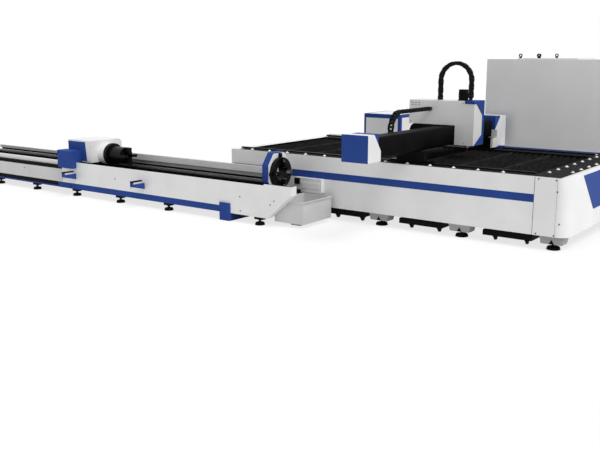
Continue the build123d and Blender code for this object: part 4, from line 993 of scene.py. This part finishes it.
def jaw_teeth():
    """Gripping teeth and a clamp screw on each jaw of the front chuck."""
    disc_low, disc_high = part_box("front_chuck_disc")
    centre = Vector((0, (disc_low.y + disc_high.y) / 2, (disc_low.z + disc_high.z) / 2))
    length = Vector((JAW_TOOTH_PITCH * JAW_TOOTH_SHARE, 0, 0))
    for name, out in JAWS:
        low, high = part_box(name)
        out = Vector(out)
        across = Vector(CHUCK_AXIS).cross(out)
        reach = [abs((corner - centre).dot(out)) for corner in (low, high)]
        tip = centre + out * min(reach)
        bm = bmesh.new()
        for tooth in range(JAW_TEETH):
            x = high.x - (tooth + 1) * JAW_TOOTH_PITCH
            side = Vector((x, tip.y, tip.z)) - across * JAW_TOOTH_WIDTH / 2
            points = [side, side + length, side + length / 2 - out * JAW_TOOTH_HEIGHT]
            add_plate(bm, points, across * JAW_TOOTH_WIDTH)
        screw = Vector(((disc_high.x + high.x) / 2, centre.y, centre.z))
        add_screw(bm, screw + out * (max(reach) - JAW_SCREW_INSET), CHUCK_AXIS, JAW_SCREW_RADIUS)
        piece(name + "_teeth", bm, turned, name)


def tube_cover_screws():
    """Screws on the tube bed's front cover and rest hooks."""
    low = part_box("tube_front_cover")[0]
    screws = bmesh.new()
    for x, z in COVER_SCREWS:
        add_screw(screws, (corner_x(x), low.y, z), (0, -1, 0))
    for hook_low, hook_high in islands("rest_hooks"):
        for share in HOOK_SCREWS:
            z = hook_low.z + (hook_high.z - hook_low.z) * share
            place = ((hook_low.x + hook_high.x) / 2, hook_low.y, z)
            add_screw(screws, place, (0, -1, 0), HOOK_SCREW_RADIUS)
    piece("tube_cover_screws", screws, oxide, "base")


def tube_bed_trim():
    """Lips on the rear cover, the left one in a darker grey that is painted shade; a black sheet on the rear
    cover that is painted shade; and a blue strip along the left rail.
    """
    frame_low, frame_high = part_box("tube_frame")
    cover_low, cover_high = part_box("tube_rear_cover")
    split = corner_x(REAR_BAND_SPLIT)
    lip, left_lip, liner = bmesh.new(), bmesh.new(), bmesh.new()
    add_block(lip, (split, cover_low.y - SKIN, cover_high.z - REAR_BAND_HEIGHT),
              (cover_high.x, cover_low.y, cover_high.z), SKIN / 3)
    # Left lip: its darker grey paint is painted shade on the pale cover
    add_block(left_lip, (cover_low.x, cover_low.y - SKIN, REAR_BAND_LEFT_TOP - REAR_BAND_LEFT_HEIGHT),
              (split, cover_low.y, REAR_BAND_LEFT_TOP), SKIN / 3)
    # Black sheet on the cover's inner face: painted shade in the trough
    add_block(liner, (cover_low.x, frame_high.y - SKIN, cover_low.z),
              (cover_high.x, frame_high.y, cover_low.z + REAR_SHADE_LINER_HEIGHT), SKIN / 3)
    piece("rear_cover_lip", lip, white, "base")
    piece("rear_cover_left_shade_lip", left_lip, shaded_lip_grey, "base")
    piece("rear_cover_shade_liner", liner, seam_and_shade_black, "base")
    strip = bmesh.new()
    add_block(strip, (frame_low.x, frame_low.y - SKIN, frame_low.z),
              (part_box("tube_base_rail")[0].x, frame_low.y, frame_low.z + RAIL_STRIP_HEIGHT), SKIN / 3)
    piece("left_rail_strip", strip, blue, "base")


def drive_box_details():
    """Raised lid, switch plate and knob of the drive box."""
    low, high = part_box("drive_box")
    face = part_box("bed_front_panel")[0].y - DRIVE_DEPTH
    lid, dark = bmesh.new(), bmesh.new()
    add_block(lid, (low.x + LID_LEFT, face - LID_RISE, low.z + LID_EDGE),
              (high.x - LID_RIGHT, face, high.z - LID_EDGE), LID_ROUND)
    knob = Vector((low.x + DRIVE_KNOB_INSET, low.y, high.z - DRIVE_KNOB_INSET))
    half = SWITCH_SIZE / 2
    add_block(dark, (knob.x - half, low.y + SKIN, knob.z - half),
              (knob.x + half, face, knob.z + half), SKIN * 2)
    add_rod(dark, knob + Vector((0, SKIN, 0)), knob - Vector((0, SWITCH_SIZE / 8, 0)), SWITCH_SIZE / 3,
            sides=24, rounding=SKIN)
    piece("drive_box_lid", lid, white, "base")
    piece("drive_box_fittings", dark, seam_and_shade_black, "base")


def box_panels():
    """White side, top and back panels of the equipment box, set into its blue edges."""
    low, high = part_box("equipment_box")
    edge = PANEL_EDGE
    bm = bmesh.new()
    add_block(bm, (low.x + edge, low.y + edge, high.z - SKIN),
              (high.x - edge, high.y - edge, high.z + SKIN), SKIN / 2)
    for x in (low.x, high.x):
        add_block(bm, (x - SKIN, low.y + edge, low.z + edge),
                  (x + SKIN, high.y - edge, high.z - edge), SKIN / 2)
    add_block(bm, (low.x + edge, high.y - SKIN, low.z + edge),
              (high.x - edge, high.y + SKIN, high.z - edge), SKIN / 2)
    piece("equipment_panels", bm, white, "base")


def cabinet_details():
    """Hinge barrels in the gaps beside the cabinet's doors."""
    low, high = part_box("cabinet_body")
    bm = bmesh.new()
    pitch = (high.x - low.x - 2 * DOOR_SIDE + DOOR_GAP) / DOOR_COUNT
    for index in range(DOOR_COUNT - 1):
        x = low.x + DOOR_SIDE + (index + 1) * pitch - DOOR_GAP / 2
        for z in HINGE_HEIGHTS:
            place = Vector((x, high.y - HINGE_SET_BACK, z))
            add_rod(bm, place, place + UP * HINGE_LENGTH, HINGE_RADIUS, sides=16, rounding=SKIN / 2)
    piece("cabinet_hinges", bm, seam_and_shade_black, "base")


front_stripe()
bed_seams()
end_cover_screws()
back_strip()
levelling_feet("bed_feet", "bed_foot")
levelling_feet("tube_feet", "tube_foot", FOOT_CAP)
foot_bracket_triangles()
rail_caps("gantry_rails", "base", "gantry_rail_caps")
rail_caps("tube_rails", "base", "tube_rail_caps")
ball_transfers()
slat_table()
bellows("bellows_front", "front_bellows_pleats")
bellows("bellows_rear", "rear_bellows_pleats")
carriage_chain()
lift_chain()
carriage_details()
carriage_skirts()
head_details()
motor_details()
saddle_wipers()
chuck_details()
face_blocks()
jaw_teeth()
tube_cover_screws()
tube_bed_trim()
drive_box_details()
box_panels()
cabinet_details()


# Floor, light and camera

def white_for_camera(tree):
    """Links a value that is 1 for rays that show the background: camera, glossy and transmission rays."""
    path = tree.nodes.new("ShaderNodeLightPath")
    first = tree.nodes.new("ShaderNodeMath")
    first.operation = "MAXIMUM"
    second = tree.nodes.new("ShaderNodeMath")
    second.operation = "MAXIMUM"
    tree.links.new(path.outputs["Is Camera Ray"], first.inputs[0])
    tree.links.new(path.outputs["Is Glossy Ray"], first.inputs[1])
    tree.links.new(first.outputs[0], second.inputs[0])
    tree.links.new(path.outputs["Is Transmission Ray"], second.inputs[1])
    return second.outputs[0]


def floor():
    """Pale floor that glows a little for the camera and keeps the shadow."""
    bm = bmesh.new()
    bmesh.ops.create_grid(bm, x_segments=1, y_segments=1, size=FLOOR_SIZE / 2,
                          matrix=Matrix.Translation((0, 0, -FLOOR_DROP)))
    mesh = bpy.data.meshes.new("floor")
    bm.to_mesh(mesh)
    bm.free()
    made = bpy.data.objects.new("floor", mesh)
    bpy.context.scene.collection.objects.link(made)
    material = bpy.data.materials.new("pale_floor")
    material.use_nodes = True
    tree = material.node_tree
    tree.nodes.remove(tree.nodes["Principled BSDF"])
    matt = tree.nodes.new("ShaderNodeBsdfDiffuse")
    matt.inputs["Color"].default_value = (*FLOOR_WHITE, 1)
    glow = tree.nodes.new("ShaderNodeEmission")
    glow.inputs["Strength"].default_value = FLOOR_GLOW
    share = tree.nodes.new("ShaderNodeMath")
    share.operation = "MULTIPLY"
    share.inputs[1].default_value = FLOOR_GLOW_SHARE
    tree.links.new(white_for_camera(tree), share.inputs[0])
    mix = tree.nodes.new("ShaderNodeMixShader")
    tree.links.new(share.outputs[0], mix.inputs["Fac"])
    tree.links.new(matt.outputs[0], mix.inputs[1])
    tree.links.new(glow.outputs[0], mix.inputs[2])
    tree.links.new(mix.outputs[0], tree.nodes["Material Output"].inputs["Surface"])
    mesh.materials.append(material)


def sky():
    """Even light all round that shows as white behind the object."""
    world = bpy.data.worlds.new("studio")
    world.use_nodes = True
    tree = world.node_tree
    background = tree.nodes["Background"]
    background.inputs["Color"].default_value = (1, 1, 1, 1)
    strength = tree.nodes.new("ShaderNodeMapRange")
    strength.inputs["To Min"].default_value = SKY_STRENGTH
    strength.inputs["To Max"].default_value = 1
    tree.links.new(white_for_camera(tree), strength.inputs["Value"])
    tree.links.new(strength.outputs["Result"], background.inputs["Strength"])
    bpy.context.scene.world = world


def sun():
    """Soft key light from the right and above."""
    lamp = bpy.data.lights.new("key", "SUN")
    lamp.energy = SUN_STRENGTH
    lamp.angle = radians(SUN_SPREAD)
    made = bpy.data.objects.new("key", lamp)
    made.rotation_euler = Vector(SUN_FROM).to_track_quat("Z", "Y").to_euler()
    bpy.context.scene.collection.objects.link(made)


def camera():
    """Camera at the photograph's viewing angle."""
    view = bpy.data.cameras.new("camera")
    view.sensor_width = SENSOR_WIDTH
    view.lens = CAMERA_LENS
    made = bpy.data.objects.new("camera", view)
    made.location = corner_place(*CAMERA_PLACE)
    made.rotation_euler = (radians(90 - CAMERA_PITCH), 0, radians(CAMERA_YAW))
    bpy.context.scene.collection.objects.link(made)
    bpy.context.scene.camera = made


floor()
sky()
sun()
camera()
bpy.context.scene.view_settings.view_transform = "Standard"
